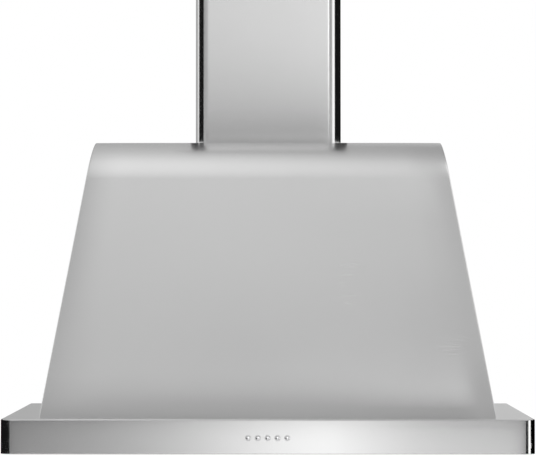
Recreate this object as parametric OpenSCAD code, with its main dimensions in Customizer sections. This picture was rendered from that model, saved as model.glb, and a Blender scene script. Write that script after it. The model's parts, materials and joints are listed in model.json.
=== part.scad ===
// Wall-mounted chimney range hood in brushed steel.
// A shallow tray carries five push buttons, the lamps and the baffle filters, a canopy with a
// rolled top edge encloses the blower, and a telescopic chimney hides the duct.
// The origin lies on the wall, at the middle of the tray's lower edge. +Z is up and the front faces -Y.

/* [Tray] */
// Width across the front of the tray
tray_w = 1000; // [960:10:1100]
// Depth from the wall to the front of the tray
tray_d = 520; // [510:5:560]
// Height of the tray's front
tray_h = 65; // [62:1:80]
// Outer radius of the tray's two front corners
tray_corner_r = 15; // [8:1:20]
// Thickness of the brushed steel sheet
sheet = 1.2; // [1:0.1:1.5]
// Width of the lip turned in under the tray
tray_lip = 12; // [8:1:14]

/* [Canopy] */
// Height of the canopy above the tray
canopy_h = 530; // [510:5:600]
// Distance from the side of the tray to the foot of the canopy
canopy_inset = 70; // [60:5:90]
// Ledge between the front of the tray and the foot of the canopy
canopy_ledge = 20; // [15:1:25]
// Width of the canopy at its top
canopy_top_w = 680; // [640:10:740]
// Lean of the front panel away from upright, in degrees
canopy_lean = 15; // [12:0.5:16]
// Outer radius of the roll between front panel and top
roll_r = 100; // [80:5:105]
// Width of the foot flange turned in under the canopy
foot_flange = 18; // [16:1:22]
// Thickness of the galvanised back panel
back_t = 1.5; // [1.2:0.1:2]

/* [Chimney] */
// Width of the lower chimney cover
chimney_w = 290; // [280:5:310]
// Depth of the lower chimney cover from the wall
chimney_d = 250; // [245:1:260]
// Outer radius of the chimney's front corners
chimney_corner_r = 27; // [14:1:30]
// Height of the lower chimney cover
chimney_h = 420; // [380:10:480]
// Height of the sliding upper cover
upper_h = 400; // [360:10:440]
// How far the closed upper cover stands out of the lower one
upper_reach = 25; // [22:1:35]
// Clearance between the two covers
slide_gap = 0.8; // [0.5:0.1:0.9]
// Width of the lips turned in at the back of each cover
chimney_lip = 15; // [12:1:18]
// Vent slots on each side of the upper cover
vent_count = 10; // [6:1:12]

/* [Filters] */
// Width of a filter's opening, in a tray of the standard width
filter_w = 290; // [280:1:294]
// Depth of a filter's opening, in a tray of the standard depth
filter_d = 370; // [360:1:375]
// Height of a filter's frame
filter_t = 12; // [11:0.5:14]
// Width of the panel's bar between two filters
filter_bar = 24; // [24:1:28]
// Clearance round a filter in its opening
filter_gap = 1.5; // [1:0.1:1.8]
// Width of the frame's face
filter_rim = 14; // [12:1:16]
// Thickness of the frame's metal
filter_metal = 1; // [0.8:0.1:1.2]
// Distance between neighbouring baffles of one row
baffle_pitch = 30; // [28:1:34]
// Width of one baffle
baffle_w = 20; // [18:1:22]
// Radius of the handle's wire
handle_wire_r = 1.8; // [1.5:0.1:2]
// Width of the handle between its ears
handle_w = 50; // [40:1:60]
// Drop of the hanging handle below its pivot
handle_drop = 19; // [14:1:20]

/* [Panels below] */
// Height of the light panel's underside
light_z = 12; // [10:1:13]
// Height of the filter panel's underside
filter_z = 30; // [29:1:31]
// Depth of the strip at the wall behind the filters
rear_strip = 38; // [34:1:42]

/* [Buttons] */
// Distance between neighbouring push buttons
button_pitch = 18.3; // [16:0.1:20]
// Radius of a push button
button_r = 5; // [4:0.1:5.5]
// Height of the buttons above the tray's lower edge
button_z = 30.5; // [29:0.5:33]
// How far a button stands proud of the tray's front
button_proud = 1; // [0.5:0.1:1.5]

/* [Lamps] */
// Distance of each lamp from the middle of a tray of the standard width
lamp_x = 300; // [260:5:340]
// Radius of the hole for a lamp
lamp_r = 32; // [28:1:34]
// Height of a lamp housing
lamp_h = 26; // [22:1:30]

/* [Blower] */
// Radius of the impeller
impeller_r = 76; // [70:1:78]
// Blades on the impeller
blade_count = 32; // [24:1:36]
// Smallest radius of the scroll
scroll_r = 95; // [92:1:100]
// Growth of the scroll's radius in each quarter turn
scroll_step = 20; // [18:1:22]
// Inner width of the scroll housing and of its square outlet
scroll_w = 150; // [148:1:156]
// Radius of the round inlets
inlet_r = 62; // [58:1:64]
// Radius of the motor
motor_r = 46; // [40:1:50]
// Height of the impeller's axis below the canopy's top
blower_drop = 192; // [188:1:200]

/* [Duct collar] */
// Outer radius of the duct collar
collar_r = 74.5; // [72:0.5:75]
// Height of the collar above the canopy's top
collar_h = 60; // [50:1:70]
// Height of the damper's pin above the canopy's top
damper_z = 32; // [28:1:36]

/* [Wall fixing] */
// Half the distance between the hanging holes
hang_x = 200; // [180:5:230]
// Height of the hanging holes
hang_z = 520; // [500:5:540]
// Radius of the hanging holes
hang_r = 6; // [5:0.5:7]
// Half the distance between the safety screws
screw_x = 260; // [230:5:280]
// Height of the lower safety screws
screw_low_z = 110; // [100:5:130]
// Height of the upper safety screws
screw_high_z = 410; // [380:5:440]
// Radius of the safety screw holes
screw_hole_r = 3; // [2.5:0.1:3.5]

/* [Hidden] */
$fn = 64;

// Size of the tray for which the filters and the lamps are given. In a larger or a smaller tray
// the three filters share the difference, and the strip with the lamps keeps its depth.
standard_w = 1000;
standard_d = 520;
filter_opening_w = filter_w + (tray_w - standard_w) / 3;
filter_opening_d = filter_d + tray_d - standard_d;
lamp_place_x = lamp_x + (tray_w - standard_w) / 3;

// Clearances that pieces share
fit_gap = 0.2;
rest_gap = 0.3;
pin_gap = 0.1;
eps = 1;

// Screws
screw_r = 2;
screw_head_r = 3.6;
screw_head_h = 2.4;

// Canopy outline, worked out from the driving sizes
canopy_top_z = tray_h + canopy_h;
canopy_base_w = tray_w - 2 * canopy_inset;
canopy_front_y = -tray_d + canopy_ledge;
side_lean = atan((canopy_base_w - canopy_top_w) / 2 / canopy_h);
roll_z = canopy_top_z - roll_r;
roll_start_z = roll_z + roll_r * sin(canopy_lean);
roll_start_y = canopy_front_y + (roll_start_z - tray_h) * tan(canopy_lean);
roll_y = roll_start_y + roll_r * cos(canopy_lean);
roll_proud = 0.02;
roll_lap = 1.7;

// Half the canopy's width at height z, drawn in by e square to the side panel
function canopy_half_w(z, e) =
  canopy_base_w / 2 - (z - tray_h) * tan(side_lean) - e / cos(side_lean);

// Screws that hold the canopy's foot to the tray
foot_line = foot_flange / 2 + sheet;
front_screw_xs = [for (k = [-2:2]) k * canopy_base_w / 5];
side_screw_ys = [for (k = [1:3]) -k * tray_d / 4.6];
mouth_rim = foot_flange + 6;
canopy_screw_spots = concat(
  [for (x = front_screw_xs) [x, canopy_front_y + foot_line]],
  [for (s = [-1, 1]) for (y = side_screw_ys) [s * (canopy_base_w / 2 - foot_line), y]]
);

// Chimney and duct
upper_w = chimney_w - 2 * (sheet + slide_gap);
upper_back_y = -(sheet + slide_gap);
upper_front_y = -chimney_d + sheet + slide_gap;
upper_corner_r = chimney_corner_r - sheet - slide_gap;
upper_z = canopy_top_z + chimney_h + upper_reach - upper_h;
upper_top_z = upper_z + upper_h;
duct_y = -chimney_d / 2;
vent_h = 60;
vent_w = 4;
vent_pitch = 15;
vent_drop = 45;
foot_bracket_h = 22;
foot_bracket_reach = 20;
foot_bracket_l = 60;

// Bracket that holds the upper cover to the wall
bracket_h = 16;
bracket_t = 2;
bracket_z = upper_top_z - bracket_h - 3;
bracket_ear = 45;
bracket_hole_r = 3;
bracket_hole_x = 80;
bracket_screw_y = upper_back_y - bracket_t - 28;

// Filters
filter_pitch = filter_opening_w + filter_bar;
filter_rear_y = -rear_strip;
filter_front_y = filter_rear_y - filter_opening_d;
filter_rear_gap = 4;
filter_body_w = filter_opening_w - 2 * filter_gap;
filter_body_front_y = filter_front_y + filter_gap;
filter_body_rear_y = filter_rear_y - filter_rear_gap;
filter_body_d = filter_body_rear_y - filter_body_front_y;
pivot_inset = filter_t / 2;
pivot_y = filter_body_rear_y - pivot_inset;
pivot_z = filter_z + filter_t / 2;
pivot_pin_r = 2.4;
pivot_pin_l = 6;
lug_t = 2.5;
lug_r = 5.5;
baffle_h = (filter_t - 2 * filter_metal) / 2 - rest_gap;
baffle_t = 0.8;
ear_t = 2.5;
ear_r = 4.2;
ear_drop = 4.6;
handle_y = filter_body_front_y + filter_rim / 2;
handle_z = filter_z - ear_drop;
handle_bend_r = 6;
handle_stub = 1;

// Panels inside the tray
panel_flange = 16;
light_rear_y = filter_front_y;
clip_w = 20;
clip_h = 9;
rail_h = 12;
rail_y = pivot_y + 11;

// Push buttons
button_cap_l = 7;
button_stem_r = 2;
button_stem_l = 10;
button_xs = [for (k = [-2:2]) k * button_pitch];
switch_w = 5 * button_pitch + 18;
switch_d = 26;
switch_h = 24;
tray_inner_y = -tray_d + sheet;

// Lamps
lamp_y = (tray_inner_y + light_rear_y) / 2;
bezel_w = 5;
bezel_h = 2.5;
lens_t = 2;

// Blower
blower_top_z = canopy_top_z - 2 * sheet;
blower_z = canopy_top_z - blower_drop;
scroll_back = scroll_r + 2 * scroll_step + scroll_step / 2;
blower_y = duct_y - (scroll_back - scroll_w / 2);
outlet_plate = scroll_w + 40;
outlet_screw = outlet_plate / 2 - 9;
blade_ring = 12;
impeller_l = scroll_w - 14;
hub_r = 12;
hub_l = 16;
shaft_r = 4;
motor_l = 80;
motor_x = 10;
bracket_x = scroll_w / 2 + sheet + 5;

// Shoulder on which the duct's end rests, and the square cut-out round it in the canopy's top,
// which the collar's flange closes from below
shoulder_w = 2;
shoulder_h = 3;
duct_cut_out = 2 * (collar_r + shoulder_w + 1);

// Damper
flap_t = 0.8;
flap_r = collar_r - sheet - 1.8;
knuckle_r = 3.2;
damper_pin_r = 2;
damper_pin_end = collar_r - 0.6 * sheet;
boss_l = 3;
knuckle_l = flap_r / 2 - 3;
stop_w = 3;

// Electrics
box_w = 140;
box_d = 46;
box_h = 150;
box_x = 215;
box_z = 185;
box_wall = 2;
box_rear_y = -back_t;
gland_x = 112;
gland_y = -32;
gland_r = 8;
gland_bore_r = 4;
gland_hex_r = 11;
board_inset = 10;
board_t = 1.6;
post_l = 6.4;
post_r = 3;
relay_w = 16;
relay_pitch = 24;
relay_z = 60;
relay_h = 24;
relay_reach = 15;
terminal_w = 90;
terminal_z = 16;
terminal_h = 14;
terminal_reach = 12;
capacitor_r = 14;
capacitor_l = 30;
lead_r = 2.5;
lamp_lead_r = 2;

// Routes of the leads inside the hood, each from its fitting to the control box.
// They run along the bar between two filters, over the rail and up the back panel.
bar_x = filter_pitch / 2;
bar_lead_z = filter_z + sheet + lead_r + 0.7;
over_z = filter_z + panel_flange + lead_r + 1.5;
over_rail_z = filter_z + sheet + rail_h + lead_r + 1.5;
switch_rear_y = tray_inner_y + switch_d;
lamp_top_z = light_z + sheet + lamp_h + 3;

// Stretch of a lead from the light panel's rear edge to the control box's underside.
// It arrives from the left with side = -1 and from the right with side = 1.
function bar_run(x, end_x, side) = [
  [x + 8 * side, light_rear_y - 22, over_z], [x, light_rear_y - 2, over_z],
  [x, light_rear_y + 24, bar_lead_z + 5],
  [x, light_rear_y + 48, bar_lead_z], [x, (light_rear_y + rail_y) / 2, bar_lead_z],
  [x, rail_y - 42, bar_lead_z], [x, rail_y - 16, over_rail_z - 3], [x, rail_y, over_rail_z + 2],
  [x + 2, -mouth_rim - lead_r - 3, tray_h + 4],
  [(x + end_x) / 2, -back_t - lead_r - 3, tray_h + 50],
  [end_x, -box_d / 2, box_z - 25], [end_x, -box_d / 2, box_z - 12],
  [end_x, -box_d / 2, box_z - fit_gap]
];
switch_lead_route = concat(
  [for (d = [fit_gap, 6, 12]) [30, switch_rear_y + d, button_z + 4]],
  [[bar_x / 2, light_rear_y - 42, over_z - 4]],
  bar_run(bar_x - 3.5, box_x - 35, -1)
);
lamp_lead_route = concat(
  [for (d = [fit_gap, 4, 7]) [lamp_place_x, lamp_y + 2.3, lamp_top_z + d]],
  [[lamp_place_x - 20, lamp_y + 8, lamp_top_z + 13],
    [(lamp_place_x + bar_x) / 2, light_rear_y - 40, over_z + 2]],
  bar_run(bar_x + 3.5, box_x - 15, 1)
);
lamp_link_route = concat(
  [for (d = [fit_gap, 4, 7]) [-lamp_place_x, lamp_y, lamp_top_z + d]],
  [[-lamp_place_x + 20, lamp_y, lamp_top_z + 13], [-lamp_place_x / 2, lamp_y, lamp_top_z + 14],
    [0, lamp_y, lamp_top_z + 14], [lamp_place_x / 2, lamp_y, lamp_top_z + 14],
    [lamp_place_x - 20, lamp_y - 3, lamp_top_z + 13]],
  [for (d = [7, 4, fit_gap]) [lamp_place_x, lamp_y - 2.3, lamp_top_z + d]]
);
motor_lead_route = concat(
  [for (d = [fit_gap, 6, 11]) [motor_x + motor_l + 3 + d, blower_y, blower_z + 12]],
  [[motor_x + motor_l + 40, blower_y + 50, blower_z],
    [box_x - 25, -box_d - 20, box_z + box_h + 40]],
  [for (d = [22, 11, fit_gap]) [box_x, -box_d / 2, box_z + box_h + d]]
);

// Flat outlines and ways to extrude them

// Rectangle with two rounded corners towards the front, from y0 to y1
module front_rounded(w, y0, y1, r) {
  translate([-w / 2, y0 + r]) square([w, y1 - y0 - r]);
  translate([-w / 2 + r, y0]) square([w - 2 * r, y1 - y0]);
  for (s = [-1, 1]) translate([s * (w / 2 - r), y0 + r]) circle(r);
}

// Plan of the tray, drawn in by e
module tray_plan(e) {
  front_rounded(tray_w - 2 * e, -tray_d + e, -e, tray_corner_r - e);
}

// Front of the canopy at height z, drawn in by e
function canopy_front_at(z, e) =
  canopy_front_y + e / cos(canopy_lean) + (z - tray_h) * tan(canopy_lean);

// End of the front panel at the roll, drawn in by e. It runs a little way into the roll.
function front_end(e) = [
  roll_y - (roll_r - e) * cos(canopy_lean) + roll_lap * sin(canopy_lean),
  roll_z + (roll_r - e) * sin(canopy_lean) + roll_lap * cos(canopy_lean)
];

// Stretch of the roll between two radii, a little longer than the bend at each end
module roll_sector(r0, r1) {
  translate([-canopy_base_w / 2, roll_y, roll_z]) rotate([90, 0, 90]) rotate([0, 0, 88])
    rotate_extrude(angle = 94 - canopy_lean) translate([r0, 0]) square([r1 - r0, canopy_base_w]);
}

// Everything inside the canopy's skin drawn in by e, back to y1
module canopy_block(e, y1) {
  half = canopy_base_w / 2;
  top_z = canopy_top_z - e;
  along_x(-half, half) polygon([
    [canopy_front_at(tray_h, e), tray_h], front_end(e), [roll_y - roll_r / 4, roll_z + roll_r / 4],
    [roll_y - roll_lap, top_z], [y1, top_z], [y1, tray_h]
  ]);
  roll_sector(0, roll_r - e + roll_proud);
}

// The sheet that makes the foot flange, the front, the roll and the top
module canopy_skin() {
  half = canopy_base_w / 2;
  foot_top = tray_h + sheet;
  along_x(-half, half) polygon([
    [canopy_front_at(tray_h, 0), tray_h], front_end(0), front_end(sheet),
    [canopy_front_at(foot_top, sheet), foot_top], [canopy_front_y + foot_flange, foot_top],
    [canopy_front_y + foot_flange, tray_h]
  ]);
  roll_sector(roll_r - sheet + roll_proud / 2, roll_r + roll_proud);
  span([-half, roll_y - roll_lap, canopy_top_z - sheet], [half, 0, canopy_top_z]);
}

// Front view of the canopy drawn in by e at its sides, from height z0 to z1
module canopy_outline(e, z0, z1) {
  polygon([
    [-canopy_half_w(z0, e), z0], [canopy_half_w(z0, e), z0],
    [canopy_half_w(z1, e), z1], [-canopy_half_w(z1, e), z1]
  ]);
}

// Extrudes a side view (y, z) across the hood
module along_x(x0, x1) {
  translate([x0, 0, 0]) rotate([90, 0, 90]) linear_extrude(x1 - x0) children();
}

// Extrudes a front view (x, z) from y0 back to y1
module along_y(y0, y1) {
  translate([0, y1, 0]) rotate([90, 0, 0]) linear_extrude(y1 - y0) children();
}

// A box given by its two corners
module span(a, b) {
  translate(a) cube(b - a);
}

// A cylinder along X, centred at (y, z)
module rod_x(x0, x1, y, z, r) {
  translate([x0, y, z]) rotate([0, 90, 0]) cylinder(h = x1 - x0, r = r);
}

// A cylinder along Y, centred at (x, z)
module rod_y(y0, y1, x, z, r) {
  translate([x, y1, z]) rotate([90, 0, 0]) cylinder(h = y1 - y0, r = r);
}

// Pan-head screw pointing down, with its head standing on z = 0
module pan_screw(l) {
  cylinder(h = screw_head_h, r = screw_head_r);
  translate([0, 0, -l]) cylinder(h = l + screw_head_h / 2, r = screw_r);
}

// Smooth leads, swept as one tube through their points

function unit(v) = v / norm(v);

// Point at share t of the stretch from p[i] to p[i + 1], on a smooth curve through all points
function curve_point(p, i, t) =
  let (a = p[max(i - 1, 0)], b = p[i], c = p[i + 1], d = p[min(i + 2, len(p) - 1)])
  0.5 * (2 * b + (c - a) * t + (2 * a - 5 * b + 4 * c - d) * t * t
    + (3 * b - a - 3 * c + d) * t * t * t);

function smooth_line(p, n) = concat(
  [for (i = [0:len(p) - 2]) for (k = [0:n - 1]) curve_point(p, i, k / n)],
  [p[len(p) - 1]]
);

module lead(points, r, sides = 8, steps = 3) {
  line = smooth_line(points, steps);
  m = len(line);
  end = len(points) - 1;
  tangents = [
    for (i = [0:m - 1])
      i == 0 ? unit(points[1] - points[0])
      : i == m - 1 ? unit(points[end] - points[end - 1])
      : unit(line[i + 1] - line[i - 1])
  ];
  normals = [
    for (i = 0, n = unit(cross(tangents[0], [0.3, 0.2, 1])); i < m;
      n = i + 1 < m ? unit(n - (n * tangents[i + 1]) * tangents[i + 1]) : n, i = i + 1) n
  ];
  rings = [
    for (i = [0:m - 1]) for (k = [0:sides - 1]) let (a = 360 * k / sides)
      line[i] + r * (cos(a) * normals[i] + sin(a) * cross(tangents[i], normals[i]))
  ];
  walls = [
    for (i = [0:m - 2]) for (k = [0:sides - 1])
      let (a = i * sides + k, b = i * sides + (k + 1) % sides)
      each [[a, a + sides, b], [b, a + sides, b + sides]]
  ];
  caps = [
    for (k = [1:sides - 2])
      each [[0, k, k + 1], [(m - 1) * sides, (m - 1) * sides + k + 1, (m - 1) * sides + k]]
  ];
  polyhedron(points = rings, faces = concat(walls, caps));
}

// Tray

// The folded tray: front, sides, back and top in one, open below with a lip turned in
module tray_shell() {
  color("silver") difference() {
    union() {
      difference() {
        linear_extrude(tray_h) tray_plan(0);
        translate([0, 0, -eps]) linear_extrude(tray_h - sheet + eps) tray_plan(sheet);
      }
      linear_extrude(sheet) difference() {
        tray_plan(sheet / 2);
        tray_plan(sheet + tray_lip);
      }
    }
    tray_mouth();
    for (x = button_xs)
      rod_y(-tray_d - eps, tray_inner_y + eps, x, button_z, button_r + rest_gap);
    for (p = canopy_screw_spots)
      translate([p[0], p[1], tray_h - 2 * sheet]) cylinder(h = 3 * sheet, r = screw_r + pin_gap);
  }
}

// Opening in the tray's top, inside the canopy's foot
module tray_mouth() {
  span(
    [-canopy_base_w / 2 + mouth_rim, canopy_front_y + mouth_rim, tray_h - sheet - eps],
    [canopy_base_w / 2 - mouth_rim, -mouth_rim, tray_h + eps]
  );
}

// Strip below the front of the tray that carries the lamps
module light_panel() {
  e = sheet + fit_gap;
  color("gainsboro") difference() {
    union() {
      translate([0, 0, light_z]) linear_extrude(sheet) light_plan(e);
      translate([0, 0, light_z]) linear_extrude(sheet + panel_flange / 2) difference() {
        light_plan(e);
        tray_plan(e + sheet);
      }
      span(
        [-tray_w / 2 + e, light_rear_y - sheet, light_z],
        [tray_w / 2 - e, light_rear_y, filter_z + panel_flange]
      );
    }
    for (s = [-1, 1]) translate([s * lamp_place_x, lamp_y, light_z - eps])
      cylinder(h = sheet + 2 * eps, r = lamp_r);
    span(
      [-switch_w / 2 - eps, -tray_d, button_z - switch_h / 2 - rest_gap],
      [switch_w / 2 + eps, tray_inner_y + switch_d + eps, tray_h]
    );
  }
}

module light_plan(e) {
  intersection() {
    tray_plan(e);
    translate([-tray_w, -tray_d]) square([2 * tray_w, light_rear_y + tray_d]);
  }
}

// Panel with the three filter openings
module filter_panel() {
  e = sheet + fit_gap;
  front = light_rear_y + fit_gap;
  color("gainsboro") difference() {
    union() {
      translate([0, 0, filter_z]) linear_extrude(sheet) rear_plan(e, front);
      translate([0, 0, filter_z]) linear_extrude(panel_flange) difference() {
        rear_plan(e, front);
        tray_plan(e + sheet);
      }
    }
    for (k = [-1:1]) span(
      [k * filter_pitch - filter_opening_w / 2, light_rear_y - eps, filter_z - eps],
      [k * filter_pitch + filter_opening_w / 2, filter_rear_y, filter_z + sheet + eps]
    );
  }
}

module rear_plan(e, front) {
  intersection() {
    tray_plan(e);
    translate([-tray_w, front]) square([2 * tray_w, tray_d]);
  }
}

// Rail behind the filters, with a hooked lug at each rear corner of each filter
module filter_rail() {
  z = filter_z + sheet;
  color("darkgray") {
    span([-filter_pitch * 1.5 + 2, rail_y, z], [filter_pitch * 1.5 - 2, rail_y + 1.5, z + rail_h]);
    for (k = [-1:1]) for (s = [-1, 1]) difference() {
      x = k * filter_pitch + s * (filter_opening_w / 2 + lug_t);
      union() {
        rod_x(x - lug_t / 2, x + lug_t / 2, pivot_y, pivot_z, lug_r - 0.8);
        span([x - lug_t / 2, pivot_y - 4, z], [x + lug_t / 2, rail_y + 1, pivot_z]);
        span([x - lug_t / 2, pivot_y, pivot_z - 1], [x + lug_t / 2, rail_y + 1, pivot_z + 4]);
      }
      rod_x(x - lug_t, x + lug_t, pivot_y, pivot_z, pivot_pin_r + pin_gap);
      span(
        [x - lug_t, pivot_y - 2 * lug_r, pivot_z - pivot_pin_r - pin_gap],
        [x + lug_t, pivot_y, pivot_z + pivot_pin_r + pin_gap]
      );
    }
  }
}

// Spring clips that grip the front of each filter
module filter_clips() {
  color("dimgray") for (k = [-1:1]) for (s = [-1, 1])
    span(
      [k * filter_pitch + s * filter_opening_w / 4 - clip_w / 2, light_rear_y, filter_z + 2],
      [k * filter_pitch + s * filter_opening_w / 4 + clip_w / 2, filter_body_front_y - rest_gap,
        filter_z + 2 + clip_h]
    );
}

// Filters

// Rim of one filter as an open channel, with its rear pivot pins and the handle's ears
module filter_frame(k) {
  x = k * filter_pitch;
  half = filter_body_w / 2;
  lo = [x - half, filter_body_front_y, filter_z];
  hi = [x + half, filter_body_rear_y, filter_z + filter_t];
  metal = [filter_metal, filter_metal, filter_metal];
  rim = [filter_rim, filter_rim, -eps];
  color("lightsteelblue") difference() {
    union() {
      difference() {
        span(lo, hi);
        span(lo + metal, hi - metal);
        span(lo + rim, hi - rim);
      }
      for (s = [-1, 1]) {
        rod_x(
          min(x + s * (half - 2), x + s * (half + pivot_pin_l)),
          max(x + s * (half - 2), x + s * (half + pivot_pin_l)), pivot_y, pivot_z, pivot_pin_r
        );
        rod_x(
          x + s * handle_w / 2 - ear_t / 2, x + s * handle_w / 2 + ear_t / 2,
          handle_y, handle_z, ear_r
        );
        span(
          [x + s * handle_w / 2 - ear_t / 2, handle_y - ear_r, handle_z],
          [x + s * handle_w / 2 + ear_t / 2, handle_y + ear_r, filter_z + filter_metal / 2]
        );
      }
    }
    for (s = [-1, 1]) rod_x(
      x + s * handle_w / 2 - ear_t, x + s * handle_w / 2 + ear_t,
      handle_y, handle_z, handle_wire_r + pin_gap
    );
  }
}

// One folded baffle, open upwards, seen along its length
module baffle_section() {
  difference() {
    translate([-baffle_w / 2, 0]) square([baffle_w, baffle_h]);
    translate([-baffle_w / 2 + baffle_t, baffle_t]) square([baffle_w - 2 * baffle_t, baffle_h]);
  }
}

// Two rows of baffles, the upper row over the gaps of the lower one
module filter_baffles(k) {
  room = filter_body_w - 2 * filter_metal - 2 * fit_gap;
  lower = floor((room - baffle_w) / baffle_pitch) + 1;
  y0 = filter_body_front_y + filter_metal + fit_gap;
  y1 = filter_body_rear_y - filter_metal - fit_gap;
  color("silver") {
    for (i = [0:lower - 1])
      translate([k * filter_pitch + (i - (lower - 1) / 2) * baffle_pitch, 0, 0])
        along_y(y0, y1) translate([0, filter_z + filter_metal + pin_gap]) baffle_section();
    for (i = [0:lower - 2])
      translate([k * filter_pitch + (i - (lower - 2) / 2) * baffle_pitch, 0, 0])
        along_y(y0, y1) translate([0, filter_z + filter_t - filter_metal - pin_gap])
          mirror([0, 1]) baffle_section();
  }
}

// Wire handle that swings in the two ears of a filter
module filter_handle(k) {
  half = handle_w / 2 - ear_t / 2 - handle_stub - handle_wire_r;
  r = handle_bend_r;
  color("silver") translate([k * filter_pitch, handle_y, handle_z]) {
    for (s = [-1, 1]) {
      rod_x(min(s * half, s * (handle_w / 2 + ear_t)), max(s * half, s * (handle_w / 2 + ear_t)),
        0, 0, handle_wire_r);
      translate([s * half, 0, -handle_drop + r]) cylinder(h = handle_drop - r, r = handle_wire_r);
      translate([s * half, 0, 0]) sphere(handle_wire_r);
      translate([s * (half - r), 0, -handle_drop + r]) rotate([90, s > 0 ? 90 : 180, 0])
        rotate_extrude(angle = 90) translate([r, 0]) circle(handle_wire_r);
    }
    rod_x(-half + r, half - r, 0, -handle_drop, handle_wire_r);
  }
}

// Canopy

// Front panel, roll and top in one sheet, with a foot flange turned in
module canopy_front() {
  color("silver") difference() {
    intersection() {
      union() canopy_skin();
      along_y(-tray_d, eps) canopy_outline(0, tray_h - eps, canopy_top_z + eps);
    }
    translate([-duct_cut_out / 2, duct_y - duct_cut_out / 2, canopy_top_z - 2 * sheet])
      cube([duct_cut_out, duct_cut_out, 3 * sheet]);
    translate([gland_x, gland_y, canopy_top_z - 2 * sheet])
      cylinder(h = 3 * sheet, r = gland_r + fit_gap);
    outlet_screw_holes();
    foot_screw_holes();
    for (p = foot_bracket_screws)
      translate([p[0], p[1], canopy_top_z - 2 * sheet]) cylinder(h = 3 * sheet, r = screw_r + pin_gap);
  }
}

// Side panel on side s, seated inside the front sheet and against the back panel
module canopy_side(s) {
  e = sheet + fit_gap;
  color("silver") difference() {
    intersection() {
      union() canopy_block(e, -back_t - fit_gap);
      along_y(-tray_d, 0) intersection() {
        union() {
          difference() {
            canopy_outline(0, tray_h - eps, canopy_top_z);
            canopy_outline(sheet, tray_h - 2 * eps, canopy_top_z + eps);
          }
          translate([-canopy_base_w / 2 + sheet / 2, tray_h]) square([foot_flange, sheet]);
          translate([canopy_base_w / 2 - sheet / 2 - foot_flange, tray_h])
            square([foot_flange, sheet]);
        }
        translate([s > 0 ? 0 : -tray_w, 0]) square([tray_w, 2 * canopy_top_z]);
      }
    }
    span(
      [-tray_w, -tray_d, tray_h - eps],
      [tray_w, canopy_front_y + foot_flange + fit_gap, tray_h + sheet + fit_gap]
    );
    foot_screw_holes();
  }
}

module foot_screw_holes() {
  for (p = canopy_screw_spots)
    translate([p[0], p[1], tray_h - eps]) cylinder(h = sheet + 2 * eps, r = screw_r + pin_gap);
}

// Galvanised panel against the wall, with the hanging holes and the safety screw holes
module back_panel() {
  color("darkgray") difference() {
    along_y(-back_t, 0) canopy_outline(0, tray_h, canopy_top_z - sheet - fit_gap);
    for (s = [-1, 1]) {
      rod_y(-back_t - eps, eps, s * hang_x, hang_z, hang_r);
      for (z = [screw_low_z, screw_high_z]) rod_y(-back_t - eps, eps, s * screw_x, z, screw_hole_r);
    }
  }
}

module canopy_screws() {
  color("dimgray") for (p = canopy_screw_spots)
    translate([p[0], p[1], tray_h + sheet]) pan_screw(3 * sheet + 3);
}

// Chimney

// Plan of a chimney cover: three walls with rounded front corners and two lips at the back
module chimney_plan(w, y0, y1, r, t, lip) {
  difference() {
    front_rounded(w, y0, y1, r);
    front_rounded(w - 2 * t, y0 + t, y1 + eps, r - t);
  }
  for (s = [-1, 1]) translate([s > 0 ? w / 2 - lip : -w / 2, y1 - t]) square([lip, t]);
}

module chimney_lower() {
  color("silver") translate([0, 0, canopy_top_z]) linear_extrude(chimney_h)
    chimney_plan(chimney_w, -chimney_d, 0, chimney_corner_r, sheet, chimney_lip);
}

// Sliding cover with vent slots in both sides
module chimney_upper() {
  color("silver") difference() {
    translate([0, 0, upper_z]) linear_extrude(upper_h)
      chimney_plan(upper_w, upper_front_y, upper_back_y, upper_corner_r, sheet, chimney_lip);
    for (i = [0:vent_count - 1]) {
      y = duct_y + (i - (vent_count - 1) / 2) * vent_pitch;
      span(
        [-upper_w, y - vent_w / 2, upper_top_z - vent_drop - vent_h],
        [upper_w, y + vent_w / 2, upper_top_z - vent_drop]
      );
    }
    for (s = [-1, 1]) rod_x(
      s * upper_w / 2 - 2 * sheet, s * upper_w / 2 + 2 * sheet, bracket_screw_y,
      bracket_z + bracket_h / 2, screw_r + pin_gap
    );
  }
}

// Screw spots of the two angle brackets that hold the lower cover
foot_bracket_screws = [
  for (s = [-1, 1]) for (d = [-1, 1])
    [s * (chimney_w / 2 - sheet - fit_gap - foot_bracket_reach * 0.6), duct_y + d * foot_bracket_l / 3]
];

// Two angle brackets inside the foot of the lower cover, with their screws
module chimney_feet() {
  inner = chimney_w / 2 - sheet - fit_gap;
  color("darkgray") {
    for (s = [-1, 1]) {
      x0 = s > 0 ? inner - foot_bracket_reach : -inner;
      xw = s > 0 ? inner - bracket_t : -inner;
      y0 = duct_y - foot_bracket_l / 2;
      difference() {
        union() {
          span([x0, y0, canopy_top_z],
            [x0 + foot_bracket_reach, y0 + foot_bracket_l, canopy_top_z + bracket_t]);
          span([xw, y0, canopy_top_z],
            [xw + bracket_t, y0 + foot_bracket_l, canopy_top_z + foot_bracket_h]);
        }
        for (p = foot_bracket_screws) translate([p[0], p[1], canopy_top_z - eps])
          cylinder(h = bracket_t + 2 * eps, r = screw_r + pin_gap);
      }
    }
    for (p = foot_bracket_screws)
      translate([p[0], p[1], canopy_top_z + bracket_t]) pan_screw(bracket_t + sheet + 2);
  }
}

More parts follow.
